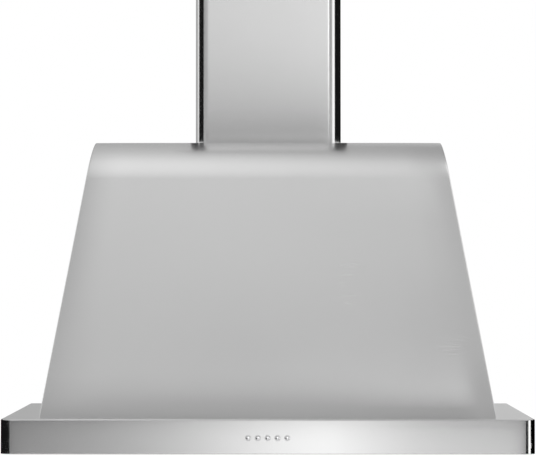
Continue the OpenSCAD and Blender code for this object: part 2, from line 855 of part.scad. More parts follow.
// Wall bracket at the top of the upper cover, stepped forward round the cover's lips
module chimney_bracket() {
  side = upper_w / 2 - sheet - fit_gap;
  lip_in = upper_w / 2 - chimney_lip - fit_gap - bracket_t;
  step_y = upper_back_y - sheet - fit_gap;
  color("darkgray") difference() {
    translate([0, 0, bracket_z]) linear_extrude(bracket_h) {
      translate([-lip_in - bracket_t, -bracket_t]) square([2 * (lip_in + bracket_t), bracket_t]);
      for (s = [-1, 1]) {
        translate([s > 0 ? lip_in : -lip_in - bracket_t, step_y - bracket_t])
          square([bracket_t, bracket_t - step_y]);
        translate([s > 0 ? lip_in : -side, step_y - bracket_t]) square([side - lip_in, bracket_t]);
        translate([s > 0 ? side - bracket_t : -side, step_y - bracket_ear])
          square([bracket_t, bracket_ear]);
      }
    }
    for (s = [-1, 1]) {
      rod_y(-2 * bracket_t, eps, s * bracket_hole_x, bracket_z + bracket_h / 2, bracket_hole_r);
      rod_x(s * side - 2 * bracket_t, s * side + 2 * bracket_t, bracket_screw_y,
        bracket_z + bracket_h / 2, screw_r + pin_gap);
    }
  }
}

module chimney_screws() {
  color("dimgray") for (s = [-1, 1])
    translate([s * upper_w / 2, bracket_screw_y, bracket_z + bracket_h / 2])
      rotate([0, s * 90, 0]) pan_screw(sheet + bracket_t + 3);
}

// Blower

// Side view of the scroll about its axis, drawn in by e; its outlet rises at the back
module scroll_view(e, top) {
  h = scroll_step / 2;
  quarters = [
    [[-h, -h], scroll_r, [-1, 1]],
    [[h, -h], scroll_r + scroll_step, [-1, -1]],
    [[h, h], scroll_r + 2 * scroll_step, [1, -1]]
  ];
  for (q = quarters) translate(q[0]) intersection() {
    circle(q[1] - e);
    translate([q[2][0] > 0 ? -eps : -2 * q[1], q[2][1] > 0 ? -eps : -2 * q[1]])
      square([2 * q[1] + eps, 2 * q[1] + eps]);
  }
  translate([-h - eps, -h - eps])
    square([scroll_back + h + eps - e, scroll_r + eps - e]);
  translate([scroll_back - scroll_w + e, 0]) square([scroll_w - 2 * e, top]);
}

// Scroll housing with two round inlets and a flanged outlet
module blower_housing() {
  half = scroll_w / 2;
  top = blower_top_z - blower_z;
  color("lightgray") difference() {
    union() {
      translate([0, blower_y, blower_z]) along_x(-half - sheet, half + sheet) scroll_view(0, top);
      translate([-outlet_plate / 2, duct_y - outlet_plate / 2, blower_top_z - sheet])
        cube([outlet_plate, outlet_plate, sheet]);
    }
    translate([0, blower_y, blower_z]) {
      along_x(-half, half) scroll_view(sheet, top + eps);
      rod_x(-half - 2 * sheet, half + 2 * sheet, 0, 0, inlet_r);
    }
    outlet_screw_holes();
  }
}

module outlet_screw_holes() {
  for (i = [-1, 1]) for (j = [-1, 1])
    translate([i * outlet_screw, duct_y + j * outlet_screw, blower_top_z - 2 * sheet])
      cylinder(h = 5 * sheet, r = screw_r + pin_gap);
}

module blower_screws() {
  color("dimgray") for (i = [-1, 1]) for (j = [-1, 1])
    translate([i * outlet_screw, duct_y + j * outlet_screw, canopy_top_z])
      pan_screw(3 * sheet + 4);
}

// Bell-mouthed rings round the two inlets
module inlet_rings() {
  color("black") translate([0, blower_y, blower_z]) for (s = [-1, 1])
    translate([s * (scroll_w / 2 + sheet), 0, 0]) rotate([0, s * 90, 0]) difference() {
      cylinder(h = 4, r = inlet_r + 8);
      translate([0, 0, -eps]) cylinder(h = 6, r = inlet_r);
      translate([0, 0, 1.5]) cylinder(h = 3, r1 = inlet_r, r2 = inlet_r + 3.6);
    }
}

module blower_motor() {
  color("dimgray") translate([0, blower_y, blower_z]) difference() {
    union() {
      rod_x(motor_x, motor_x + motor_l, 0, 0, motor_r);
      rod_x(motor_x - 3, motor_x + 1, 0, 0, motor_r / 3);
      rod_x(motor_x + motor_l - 1, motor_x + motor_l + 3, 0, 0, motor_r / 2);
    }
    rod_x(motor_x - 4, motor_x + 18, 0, 0, shaft_r + pin_gap);
  }
}

// Three-armed bracket that carries the motor in the right-hand inlet
module motor_bracket() {
  reach = inlet_r + 22;
  color("darkgray") translate([bracket_x, blower_y, blower_z]) rotate([0, 90, 0]) difference() {
    union() {
      cylinder(h = 6, r = motor_r + 6);
      for (a = [0, 120, 240]) rotate([0, 0, a]) {
        translate([motor_r + 2, -6, 0]) cube([reach - motor_r - 2, 12, 3]);
        translate([inlet_r + 10, -6, scroll_w / 2 + sheet - bracket_x])
          cube([reach - inlet_r - 10, 12, bracket_x - scroll_w / 2 - sheet + 3]);
      }
    }
    translate([0, 0, -eps]) cylinder(h = 8, r = motor_r + pin_gap);
  }
}

module motor_shaft() {
  color("silver") translate([0, blower_y, blower_z]) rod_x(-hub_l / 2, motor_x + 16, 0, 0, shaft_r);
}

// Double impeller: hub, web and a drum of pitched blades between two rings
module impeller() {
  half = impeller_l / 2;
  color("white") translate([0, blower_y, blower_z]) rotate([0, 90, 0]) difference() {
    union() {
      translate([0, 0, -hub_l / 2]) cylinder(h = hub_l / 2 + 4, r = hub_r);
      translate([0, 0, -1]) cylinder(h = 2, r = impeller_r - 2);
      for (z = [-half, half - 2]) translate([0, 0, z]) difference() {
        cylinder(h = 2, r = impeller_r);
        translate([0, 0, -eps]) cylinder(h = 4, r = impeller_r - blade_ring);
      }
      for (i = [0:blade_count - 1]) rotate([0, 0, i * 360 / blade_count])
        translate([impeller_r - blade_ring / 2, 0, 0]) rotate([0, 0, 35])
          cube([blade_ring, 1, impeller_l - 2], center = true);
    }
    translate([0, 0, -half]) cylinder(h = impeller_l, r = shaft_r + pin_gap / 2);
  }
}

// Round collar for the duct, on a square flange below the canopy's top, with two inner bosses
// for the damper's pin
module outlet_collar() {
  color("gray") difference() {
    union() {
      collar_ring();
      for (s = [-1, 1]) {
        x = s * (collar_r - sheet - boss_l);
        end = s * (collar_r - sheet / 2);
        rod_x(min(x, end), max(x, end), duct_y, canopy_top_z + damper_z, knuckle_r);
      }
    }
    rod_x(-damper_pin_end, damper_pin_end, duct_y, canopy_top_z + damper_z, damper_pin_r + pin_gap);
  }
}

module collar_ring() {
  difference() {
    union() {
      translate([-outlet_plate / 2, duct_y - outlet_plate / 2, blower_top_z])
        cube([outlet_plate, outlet_plate, sheet]);
      translate([0, duct_y, blower_top_z]) {
        cylinder(h = canopy_top_z + collar_h - blower_top_z, r = collar_r);
        cylinder(h = canopy_top_z + shoulder_h - blower_top_z, r = collar_r + shoulder_w);
      }
    }
    translate([0, duct_y, blower_top_z - eps]) {
      cylinder(h = canopy_top_z - blower_top_z + damper_z - 3 + eps, r = collar_r - sheet);
      cylinder(h = 2 * collar_h + canopy_top_z - blower_top_z, r = collar_r - sheet - stop_w);
      translate([0, 0, canopy_top_z - blower_top_z + damper_z - flap_t / 2 - rest_gap + eps])
        cylinder(h = 2 * collar_h, r = collar_r - sheet);
    }
    outlet_screw_holes();
  }
}

module damper_pin() {
  color("silver") rod_x(-damper_pin_end + fit_gap, damper_pin_end - fit_gap, duct_y,
    canopy_top_z + damper_z, damper_pin_r);
}

// Half-round damper flap on side s, with two knuckles on the pin
module damper_flap(s) {
  gap = knuckle_r + 0.5;
  color("gray") translate([0, duct_y, canopy_top_z + damper_z]) {
    difference() {
      union() {
        intersection() {
          translate([0, 0, -flap_t / 2]) cylinder(h = flap_t, r = flap_r);
          translate([-flap_r, s > 0 ? gap : -gap - 2 * flap_r, -eps])
            cube([2 * flap_r, 2 * flap_r, 2 * eps]);
        }
        for (i = [0, 1]) {
          x = (i * 2 - 1.5 + (s > 0 ? 0 : 1)) * flap_r / 2 - knuckle_l / 2;
          rod_x(x, x + knuckle_l, 0, 0, knuckle_r);
          translate([x, s > 0 ? 0 : -gap - 1, -flap_t / 2]) cube([knuckle_l, gap + 1, flap_t]);
        }
      }
      rod_x(-collar_r, collar_r, 0, 0, damper_pin_r + pin_gap);
    }
  }
}

// Push buttons

// Housing behind the tray's front, with a stepped bore for each button
module switch_housing() {
  color("dimgray") difference() {
    span(
      [-switch_w / 2, tray_inner_y, button_z - switch_h / 2],
      [switch_w / 2, tray_inner_y + switch_d, button_z + switch_h / 2]
    );
    for (x = button_xs) {
      rod_y(tray_inner_y - eps, tray_inner_y + 9, x, button_z, button_r + rest_gap);
      rod_y(tray_inner_y - eps, tray_inner_y + 21, x, button_z, button_stem_r + rest_gap);
    }
  }
}

module push_button(i) {
  y = -tray_d - button_proud;
  color("lightgray") {
    rod_y(y, y + button_cap_l, button_xs[i - 1], button_z, button_r);
    rod_y(y + button_cap_l - 1, y + button_cap_l + button_stem_l, button_xs[i - 1], button_z,
      button_stem_r);
  }
}

// Lamps

// Ring below the light panel, with a collar up through the hole
module lamp_bezel(s) {
  color("silver") translate([s * lamp_place_x, lamp_y, light_z]) difference() {
    union() {
      translate([0, 0, -bezel_h]) cylinder(h = bezel_h, r = lamp_r + bezel_w);
      cylinder(h = sheet, r = lamp_r - fit_gap);
    }
    translate([0, 0, -bezel_h - eps]) cylinder(h = bezel_h + sheet + 2 * eps, r = lamp_r - bezel_w);
    translate([0, 0, -lens_t]) cylinder(h = lens_t + sheet + eps, r = lamp_r - bezel_w + 2);
  }
}

module lamp_lens(s) {
  color("white") translate([s * lamp_place_x, lamp_y, light_z - lens_t])
    cylinder(h = lens_t, r = lamp_r - bezel_w + 2 - fit_gap);
}

// Can above the light panel
module lamp_housing(s) {
  color("dimgray") translate([s * lamp_place_x, lamp_y, light_z + sheet]) difference() {
    cylinder(h = lamp_h, r = lamp_r + 2);
    translate([0, 0, -eps]) cylinder(h = lamp_h - 1 + eps, r = lamp_r + 1);
    translate([0, 0, lamp_h - 2]) cylinder(h = 4, r = 5);
  }
}

// Halogen capsule on its ceramic base, plugged into the top of the can
module lamp_bulb(s) {
  z = light_z + sheet + lamp_h;
  color("ivory") translate([s * lamp_place_x, lamp_y, z - 12]) {
    translate([0, 0, 3]) cylinder(h = 12, r = 5 - fit_gap);
    translate([0, 0, 0.5]) cylinder(h = 3, r = 3.4);
    translate([0, 0, -3.5]) cylinder(h = 4.5, r = 4.5);
  }
}

// Electrics

// Open-fronted box on the back panel
module control_box() {
  lo = [box_x - box_w / 2, box_rear_y - box_d, box_z];
  hi = [box_x + box_w / 2, box_rear_y, box_z + box_h];
  wall = [box_wall, box_wall, box_wall];
  color("gainsboro") difference() {
    span(lo, hi);
    span(lo + [box_wall, -eps, box_wall], hi - wall);
  }
}

module control_box_lid() {
  y = box_rear_y - box_d;
  color("whitesmoke")
    span([box_x - box_w / 2, y - box_wall, box_z], [box_x + box_w / 2, y, box_z + box_h]);
}

// Circuit board on four posts, with its relays and terminal strip
module circuit_board() {
  y = box_rear_y - box_wall;
  front = y - post_l - board_t;
  half = box_w / 2 - board_inset;
  color("darkgreen") {
    span([box_x - half, front, box_z + board_inset],
      [box_x + half, front + board_t, box_z + box_h - board_inset]);
    for (s = [-1, 1]) for (t = [-1, 1])
      rod_y(y - post_l - board_t / 2, y, box_x + s * (half - 2 * post_r),
        box_z + box_h / 2 + t * (box_h / 2 - board_inset - 2 * post_r), post_r);
    for (i = [-1:1]) span(
      [box_x + i * relay_pitch - relay_w / 2, front - relay_reach, box_z + relay_z],
      [box_x + i * relay_pitch + relay_w / 2, front + board_t / 2, box_z + relay_z + relay_h]
    );
    span([box_x - terminal_w / 2, front - terminal_reach, box_z + terminal_z],
      [box_x + terminal_w / 2, front + board_t / 2, box_z + terminal_z + terminal_h]);
  }
}

module capacitor() {
  y = box_rear_y - box_wall - post_l - board_t;
  color("white")
    rod_y(y - capacitor_l, y, box_x, box_z + box_h - board_inset - post_l - board_t - 1.3 * capacitor_r,
      capacitor_r);
}

// Gland for the supply cable, through the canopy's top inside the chimney
module cable_gland() {
  color("dimgray") translate([gland_x, gland_y, canopy_top_z]) difference() {
    union() {
      cylinder(h = 5, r = gland_hex_r, $fn = 6);
      translate([0, 0, 4]) cylinder(h = 12, r = gland_r);
      translate([0, 0, -sheet - 9]) cylinder(h = 11 + sheet, r = gland_r);
      translate([0, 0, -sheet - 5]) cylinder(h = 5, r = gland_hex_r, $fn = 6);
    }
    translate([0, 0, -sheet - 10]) cylinder(h = sheet + 27, r = gland_bore_r);
  }
}

module switch_lead() {
  color("dimgray") lead(switch_lead_route, lead_r);
}

// Lead of the right lamp to the control box, and the link from lamp to lamp
module lamp_lead() {
  color("dimgray") {
    lead(lamp_lead_route, lamp_lead_r);
    lead(lamp_link_route, lamp_lead_r);
  }
}

module motor_lead() {
  color("dimgray") lead(motor_lead_route, lead_r);
}

tray_shell();
light_panel();
filter_panel();
filter_rail();
filter_clips();
filter_frame(-1);  // filter_frame_left
filter_frame(0);  // filter_frame_centre
filter_frame(1);  // filter_frame_right
filter_baffles(-1);  // filter_baffles_left
filter_baffles(0);  // filter_baffles_centre
filter_baffles(1);  // filter_baffles_right
filter_handle(-1);  // filter_handle_left
filter_handle(0);  // filter_handle_centre
filter_handle(1);  // filter_handle_right
canopy_front();
canopy_side(-1);  // canopy_side_left
canopy_side(1);  // canopy_side_right
back_panel();
canopy_screws();
chimney_lower();
chimney_feet();
chimney_upper();
chimney_bracket();
chimney_screws();
blower_housing();
inlet_rings();
blower_motor();
motor_bracket();
motor_shaft();
impeller();
outlet_collar();
damper_pin();
damper_flap(-1);  // damper_flap_front
damper_flap(1);  // damper_flap_rear
blower_screws();
switch_housing();
push_button(1);  // button_1
push_button(2);  // button_2
push_button(3);  // button_3
push_button(4);  // button_4
push_button(5);  // button_5
lamp_bezel(-1);  // lamp_bezel_left
lamp_bezel(1);  // lamp_bezel_right
lamp_lens(-1);  // lamp_lens_left
lamp_lens(1);  // lamp_lens_right
lamp_housing(-1);  // lamp_housing_left
lamp_housing(1);  // lamp_housing_right
lamp_bulb(-1);  // lamp_bulb_left
lamp_bulb(1);  // lamp_bulb_right
control_box();
control_box_lid();
circuit_board();
capacitor();
cable_gland();
switch_lead();
lamp_lead();
motor_lead();
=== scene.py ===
"""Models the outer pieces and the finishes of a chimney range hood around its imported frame."""

import json
import math

import bmesh
import bpy
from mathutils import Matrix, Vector

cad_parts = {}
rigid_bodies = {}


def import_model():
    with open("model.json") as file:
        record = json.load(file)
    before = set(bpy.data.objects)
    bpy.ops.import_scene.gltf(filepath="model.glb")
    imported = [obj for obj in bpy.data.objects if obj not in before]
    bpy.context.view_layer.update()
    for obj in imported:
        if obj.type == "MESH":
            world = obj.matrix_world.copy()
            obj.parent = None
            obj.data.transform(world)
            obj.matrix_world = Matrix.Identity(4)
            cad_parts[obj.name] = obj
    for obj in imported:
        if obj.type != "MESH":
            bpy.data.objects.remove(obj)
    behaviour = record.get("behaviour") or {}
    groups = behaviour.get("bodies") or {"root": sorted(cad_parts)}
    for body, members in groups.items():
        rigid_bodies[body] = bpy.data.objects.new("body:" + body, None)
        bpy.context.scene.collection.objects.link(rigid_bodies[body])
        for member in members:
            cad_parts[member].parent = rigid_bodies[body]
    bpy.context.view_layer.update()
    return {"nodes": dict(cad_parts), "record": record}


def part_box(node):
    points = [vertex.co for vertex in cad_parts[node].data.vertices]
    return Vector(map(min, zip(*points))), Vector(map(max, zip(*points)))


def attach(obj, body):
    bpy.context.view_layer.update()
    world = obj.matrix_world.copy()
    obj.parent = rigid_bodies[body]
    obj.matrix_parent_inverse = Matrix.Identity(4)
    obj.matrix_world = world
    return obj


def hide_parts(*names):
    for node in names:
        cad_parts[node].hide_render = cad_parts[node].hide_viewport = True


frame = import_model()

bl_info = {
    "name": "Range Hood",
    "version": (1, 0, 0),
    "blender": (4, 5, 0),
    "location": "3D View > Sidebar > Hood",
    "description": "Models the outer pieces and the finishes of a chimney range hood",
    "category": "Object",
}

FILTER_PLACES = ("left", "centre", "right")
# How far a drill reaches past a sheet, and a filter's rear pins past its frame, in metres
REACH = 0.01
PIN_OUT = 0.006
# Softening of a cut sheet's edges, and a handle's play in its ears
CUT_EDGE = 0.0003
PLAY = 0.0001
# Radius of a chimney cover's rear bends, and how much tighter the inner cover's corners are
REAR_BEND = 0.002
INNER_STEP = 0.002
# Rows beside the canopy's slanted edges, from the edge to where the front is flat
CROWN_ROWS = (0, 0.06, 0.14, 0.24, 0.36, 0.5, 0.66, 0.82, 1)
# Steps of the buttons' and the lenses' domed faces, from the rim inwards: width and rise
BUTTON_DOME = ((0.0003, 0.0003), (0.0006, 0.00032), (0.0009, 0.00024), (0.001, 0.00014),
               (0.0009, 0.00007), (0.0007, 0.00003))
LENS_DOME = ((0.0005, 0.00035), (0.006, 0.00012), (0.008, 0.00008), (0.008, 0.00004))


# Sizes, finishes and studio settings that a user would change


def length(name, description, default):
    """A size in metres."""
    return bpy.props.FloatProperty(
        name=name, description=description, default=default, unit="LENGTH")


def angle(name, description, degrees):
    """A lean or a turn."""
    return bpy.props.FloatProperty(
        name=name, description=description, default=math.radians(degrees), subtype="ANGLE")


def number(name, description, default):
    """A number without a unit."""
    return bpy.props.FloatProperty(name=name, description=description, default=default)


def colour(name, description, default):
    """A colour of a finish."""
    return bpy.props.FloatVectorProperty(
        name=name, description=description, default=default, subtype="COLOR", min=0, max=1)


class HoodSizes(bpy.types.PropertyGroup):
    sheet: length("Sheet", "Thickness of the steel sheet", 0.0012)
    tray_corner: length("Tray corner", "Outer radius of the tray's two front corners", 0.019)
    tray_fold: length("Tray fold", "Radius of the fold round the tray's top", 0.0024)
    tray_hem: length("Tray hem", "Radius of the fold round the tray's bottom", 0.0018)
    tray_lip: length("Tray lip", "Width of the lip turned in under the tray", 0.0132)
    mouth_rim: length("Mouth rim", "Width of the tray's top left inside the canopy's foot", 0.024)
    button_hole: length("Button hole", "Radius of a button's hole in the tray", 0.0053)
    canopy_top_half: length("Canopy top", "Half the canopy's width at its top", 0.34)
    canopy_lean: angle("Canopy lean", "Lean of the front panel away from upright", 15)
    roll_radius: length("Roll", "Radius of the roll between the front panel and the top", 0.1)
    crown_width: length("Crown width", "Width of the soft bend along the slanted edges", 0.08)
    crown_depth: length("Crown depth", "How far the slanted edges bend back", 0.006)
    side_bend: length("Side bend", "Radius of the bend between front and side panels", 0.0015)
    foot_flange: length("Foot flange", "Width of the flange turned in under the canopy", 0.018)
    duct_cut_out: length("Duct cut-out", "Side of the square cut-out round the collar", 0.155)
    gland_hole: length("Gland hole", "Radius of the hole for the cable's gland", 0.0082)
    chimney_corner: length("Chimney corner", "Outer radius of the chimney's front corners", 0.027)
    chimney_lip: length("Chimney lip", "Width of the lips turned in at a cover's back", 0.015)
    vent_count: bpy.props.IntProperty(
        name="Vents", description="Vent slots on each side of the upper cover", default=10)
    vent_pitch: length("Vent pitch", "Distance between neighbouring vent slots", 0.015)
    vent_height: length("Vent height", "Height of a vent slot", 0.06)
    vent_drop: length("Vent drop", "Distance of the vent slots from the cover's top", 0.045)
    filter_height: length("Filter height", "Height of a filter's frame", 0.012)
    filter_rim: length("Filter rim", "Width of the frame's face", 0.014)
    baffle_pitch: length("Baffle pitch", "Distance between neighbouring baffles of a row", 0.03)
    baffle_width: length("Baffle width", "Width of one baffle", 0.02)
    handle_half: length("Handle", "Half the distance between a handle's legs", 0.02095)
    handle_bend: length("Handle bend", "Radius of the lower bends of a handle", 0.006)
    wire_radius: length("Wire", "Radius of the handle's wire", 0.0018)


class HoodFinishes(bpy.types.PropertyGroup):
    steel_colour: colour("Steel", "Colour of the brushed steel", (0.70, 0.70, 0.70))
    steel_roughness: number("Canopy roughness", "Roughness of the canopy's steel", 0.25)
    steel_brushing: number(
        "Canopy brushing", "How much the canopy's brushing stretches reflections", 0.85)
    edge_roughness: number("Cover roughness", "Roughness of the tray's and covers' steel", 0.235)
    edge_brushing: number("Cover brushing", "How much that brushing stretches reflections", 0.85)
    zinc_colour: colour("Zinc", "Colour of the galvanised pieces", (0.52, 0.54, 0.55))
    filter_colour: colour("Filter steel", "Colour of the filters", (0.62, 0.62, 0.62))


class HoodStudio(bpy.types.PropertyGroup):
    eye: bpy.props.FloatVectorProperty(
        name="Camera", description="Place of the camera", subtype="TRANSLATION",
        default=(0.018, -4.7045, 0.3392))
    pitch: angle("Pitch", "Upward tilt of the camera", 1.150)
    yaw: angle("Yaw", "Turn of the camera to the right", -0.237)
    lens: number("Lens", "Focal length of the camera in millimetres", 150.5)
    floor_level: length("Floor", "Height of the floor", -1.6)


# Modelling by hand, in short steps


def alone(*pieces):
    """Selects these objects and nothing else. The first one becomes active."""
    if bpy.context.object and bpy.context.object.mode != "OBJECT":
        bpy.ops.object.mode_set(mode="OBJECT")
    for other in bpy.context.view_layer.objects:
        other.select_set(False)
    for piece in pieces:
        piece.select_set(True)
    bpy.context.view_layer.objects.active = pieces[0] if pieces else None


def named(name):
    """Names the new active object and puts its place into its mesh."""
    piece = bpy.context.object
    piece.name = piece.data.name = name
    bpy.ops.object.transform_apply(location=True, rotation=True, scale=True)
    return piece


def block(name, low, high):
    """A box between two corners, as the start of a piece."""
    low, high = Vector(low), Vector(high)
    alone()
    bpy.ops.mesh.primitive_cube_add(size=1, location=(low + high) / 2)
    bpy.context.object.scale = high - low
    return named(name)


def rod(name, start, end, radius, sides):
    """A round bar between two points, as the start of a piece."""
    start, end = Vector(start), Vector(end)
    alone()
    bpy.ops.mesh.primitive_cylinder_add(
        vertices=sides, radius=radius, depth=(end - start).length, location=(start + end) / 2,
        rotation=(end - start).to_track_quat("Z", "Y").to_euler())
    return named(name)


def pick(piece, kind, test):
    """In edit mode, selects the vertices, edges or faces of a piece that pass a test."""
    if piece.mode != "EDIT":
        alone(piece)
        bpy.ops.object.mode_set(mode="EDIT")
    bpy.ops.mesh.select_mode(type=kind)
    bpy.ops.mesh.select_all(action="DESELECT")
    shape = bmesh.from_edit_mesh(piece.data)
    shape.normal_update()
    items = {"VERT": shape.verts, "EDGE": shape.edges, "FACE": shape.faces}[kind]
    found = [item for item in items if test(item)]
    if not found:
        raise RuntimeError(f"nothing on {piece.name} can be picked here")
    for item in found:
        item.select_set(True)
    shape.select_flush_mode()
    bmesh.update_edit_mesh(piece.data)


def near(value, target, slack=0.0001):
    return abs(value - target) < slack


def middle(name):
    """The middle of a frame piece's box."""
    low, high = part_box(name)
    return (low + high) / 2


def facing(axis, sign):
    """A test for flat faces that point along an axis."""
    return lambda face: face.normal[axis] * sign > 0.999


def on_plane(axis, place):
    """A test for edges that lie in a plane square to an axis."""
    return lambda edge: all(near(v.co[axis], place) for v in edge.verts)


def upright(edge):
    """Whether an edge runs up and down."""
    a, b = (v.co for v in edge.verts)
    return near(a.x, b.x) and near(a.y, b.y) and abs(a.z - b.z) > 0.001


def between(edge, first, second):
    """Whether an edge parts a face that passes one test from a face that passes the other."""
    faces = edge.link_faces
    return len(faces) == 2 and (
        first(faces[0]) and second(faces[1]) or first(faces[1]) and second(faces[0]))


def modify(piece, kind, **settings):
    """Gives a piece one modifier and applies it."""
    alone(piece)
    modifier = piece.modifiers.new(kind.title(), kind)
    for key, value in settings.items():
        setattr(modifier, key, value)
    bpy.ops.object.modifier_apply(modifier=modifier.name)


def thicken(piece, sheet):
    """Turns a surface into a sheet that keeps its outer side."""
    modify(piece, "SOLIDIFY", thickness=sheet, offset=-1, use_even_offset=True)


def ease(piece, width, angle=50):
    """Rounds the sharp edges of a piece."""
    modify(piece, "BEVEL", width=width, segments=2, limit_method="ANGLE",
           angle_limit=math.radians(angle), miter_outer="MITER_ARC")


def discard(*pieces):
    """Removes pieces that were only a means to others."""
    for piece in pieces:
        bpy.data.objects.remove(piece)


def punch(piece, cutter):
    """Cuts one shape out of another."""
    modify(piece, "BOOLEAN", object=cutter, operation="DIFFERENCE", solver="EXACT")
    discard(cutter)


def open_up(piece, test):
    """Takes away the faces of a piece that pass a test."""
    pick(piece, "FACE", test)
    bpy.ops.mesh.delete(type="FACE")


def bend(piece, test, radius, steps):
    """Rounds the edges of a piece that pass a test."""
    pick(piece, "EDGE", test)
    bpy.ops.mesh.bevel(offset=radius, segments=steps, affect="EDGES")


def drill(piece, spot, axis, radius, sides):
    """Cuts a round hole through a sheet at a spot, along an axis."""
    reach = Vector((0, 0, 0))
    reach[axis] = REACH
    punch(piece, rod("hole", Vector(spot) - reach, Vector(spot) + reach, radius, sides))


def dome(steps):
    """Raises the picked face in steps of width and rise."""
    for width, rise in steps:
        bpy.ops.mesh.inset(thickness=width, depth=rise)


def join(*pieces):
    """Makes one piece of several."""
    alone(*pieces)
    bpy.ops.object.join()
    return pieces[0]


def copied(piece, name, move):
    """A copy of a piece with a mesh of its own, moved."""
    alone(piece)
    bpy.ops.object.duplicate(linked=False)
    bpy.context.object.location = move
    return named(name)


def outward():
    """Turns the faces of the piece in edit mode outwards."""
    bpy.ops.mesh.select_all(action="SELECT")
    bpy.ops.mesh.remove_doubles(threshold=0.000005)
    bpy.ops.mesh.normals_make_consistent(inside=False)


def complete(piece, body, finish, nodes, angle=35):
    """Lays the brushing over a modelled piece, smooths it, and fits it to the frame."""
    alone(piece)
    bpy.ops.object.mode_set(mode="EDIT")
    bpy.ops.mesh.select_all(action="SELECT")
    bpy.ops.uv.cube_project(cube_size=1, correct_aspect=False)
    bpy.ops.object.mode_set(mode="OBJECT")
    bpy.ops.object.shade_smooth_by_angle(angle=math.radians(angle))
    modify(piece, "WEIGHTED_NORMAL", keep_sharp=True)
    piece.data.materials.clear()
    piece.data.materials.append(Finish.made[finish])
    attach(piece, body)
    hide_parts(*nodes)


# Finishes


def fill(tree, owner, inputs):
    """Gives a node's inputs their values and links those that come from other nodes."""
    for key, value in inputs.items():
        if isinstance(value, bpy.types.NodeSocket):
            tree.links.new(value, owner.inputs[key])
        else:
            owner.inputs[key].default_value = value


def node(tree, kind, inputs=None, **settings):
    """Adds a shader node with these settings and inputs."""
    made = tree.nodes.new("ShaderNode" + kind)
    for key, value in settings.items():
        setattr(made, key, value)
    fill(tree, made, inputs or {})
    return made


class Finish:
    """A material and the few steps that build its nodes."""

    made = {}

    def __init__(self, name, colour, metal=0.0):
        self.material = bpy.data.materials.new(name)
        self.material.use_nodes = True
        self.tree = self.material.node_tree
        self.surface = self.tree.nodes["Principled BSDF"]
        self.colour = tuple(colour)
        self.set(Metallic=metal, Base_Color=(*self.colour, 1))
        Finish.made[name] = self.material

    def set(self, **values):
        """Sets or links inputs of the surface."""
        fill(self.tree, self.surface, {
            key.replace("_", " "): value for key, value in values.items()})

    def add(self, kind, inputs=None, **settings):
        return node(self.tree, kind, inputs, **settings)

    def place(self, source, scale=(1, 1, 1), turn=(0, 0, 0)):
        """Coordinates of the piece, scaled and turned."""
        if source == "UV":
            start = self.add("UVMap").outputs["UV"]
        else:
            start = self.add("TexCoord").outputs[source]
        return self.add(
            "Mapping", {"Vector": start, "Scale": scale, "Rotation": turn}).outputs["Vector"]

    def noise(self, place, scale, detail=3, roughness=0.6):
        return self.add("TexNoise", {
            "Vector": place, "Scale": scale, "Detail": detail, "Roughness": roughness,
        }).outputs["Fac"]

    def span(self, value, low, high, start=0.3, end=0.7):
        """A value drawn out between a low and a high."""
        return self.add("MapRange", {
            "Value": value, "From Min": start, "From Max": end, "To Min": low, "To Max": high,
        }).outputs["Result"]

    def mean(self, first, second, share=0.5):
        return self.add("Mix", {"Factor": share, "A": first, "B": second}).outputs[0]

    def tint(self, value, low, high):
        """The finish's colour, made darker or lighter by a value."""
        dark = [channel * low for channel in self.colour]
        light = [min(channel * high, 1) for channel in self.colour]
        mix = self.add("Mix", {"Factor": value, 6: (*dark, 1), 7: (*light, 1)}, data_type="RGBA")
        self.set(Base_Color=mix.outputs[2])

    def bump(self, height, distance, strength):
        bump = self.add("Bump", {"Height": height, "Distance": distance, "Strength": strength})
        self.set(Normal=bump.outputs["Normal"])


def brushed_steel(name, source, scale, colour, roughness, brushing):
    """Steel brushed in one direction, with long fine streaks and soft smudges."""
    steel = Finish(name, colour, metal=1.0)
    long_way, across, third = scale
    fine = steel.noise(steel.place(source, scale), 1, 4, 0.7)
    broad = steel.noise(steel.place(source, (long_way * 0.5, across * 0.12, third * 0.12)), 1, 2)
    smudge = steel.noise(steel.place("Object", (3, 3, 3)), 1, 3)
    lines = steel.mean(fine, broad, 0.15)
    streak = 0.02
    steel.tint(lines, 1 - streak, 1 + streak * 0.6)
    steel.bump(lines, 0.00002, 0.06)
    sheen = steel.add("Math", {
        0: steel.span(lines, roughness * 0.94, roughness * 1.05),
        1: steel.span(smudge, -0.015, 0.02)}, operation="ADD")
    if source == "UV":
        tangent = steel.add("Tangent", direction_type="UV_MAP")
    else:
        tangent = steel.add("Tangent", direction_type="RADIAL", axis="Z")
    steel.set(Roughness=sheen.outputs[0], Anisotropic=brushing, Anisotropic_Rotation=0.25,
              Tangent=tangent.outputs["Tangent"])


def grained(name, colour, metal, grain, detail, shade, sheen, relief, stretch=(1, 1, 1), **more):
    """A finish whose colour, roughness and relief all follow one noise, each between two ends."""
    finish = Finish(name, colour, metal)
    film = finish.noise(finish.place("Object", stretch), grain, detail)
    finish.tint(film, *shade)
    finish.bump(film, *relief)
    finish.set(Roughness=finish.span(film, *sheen), **more)


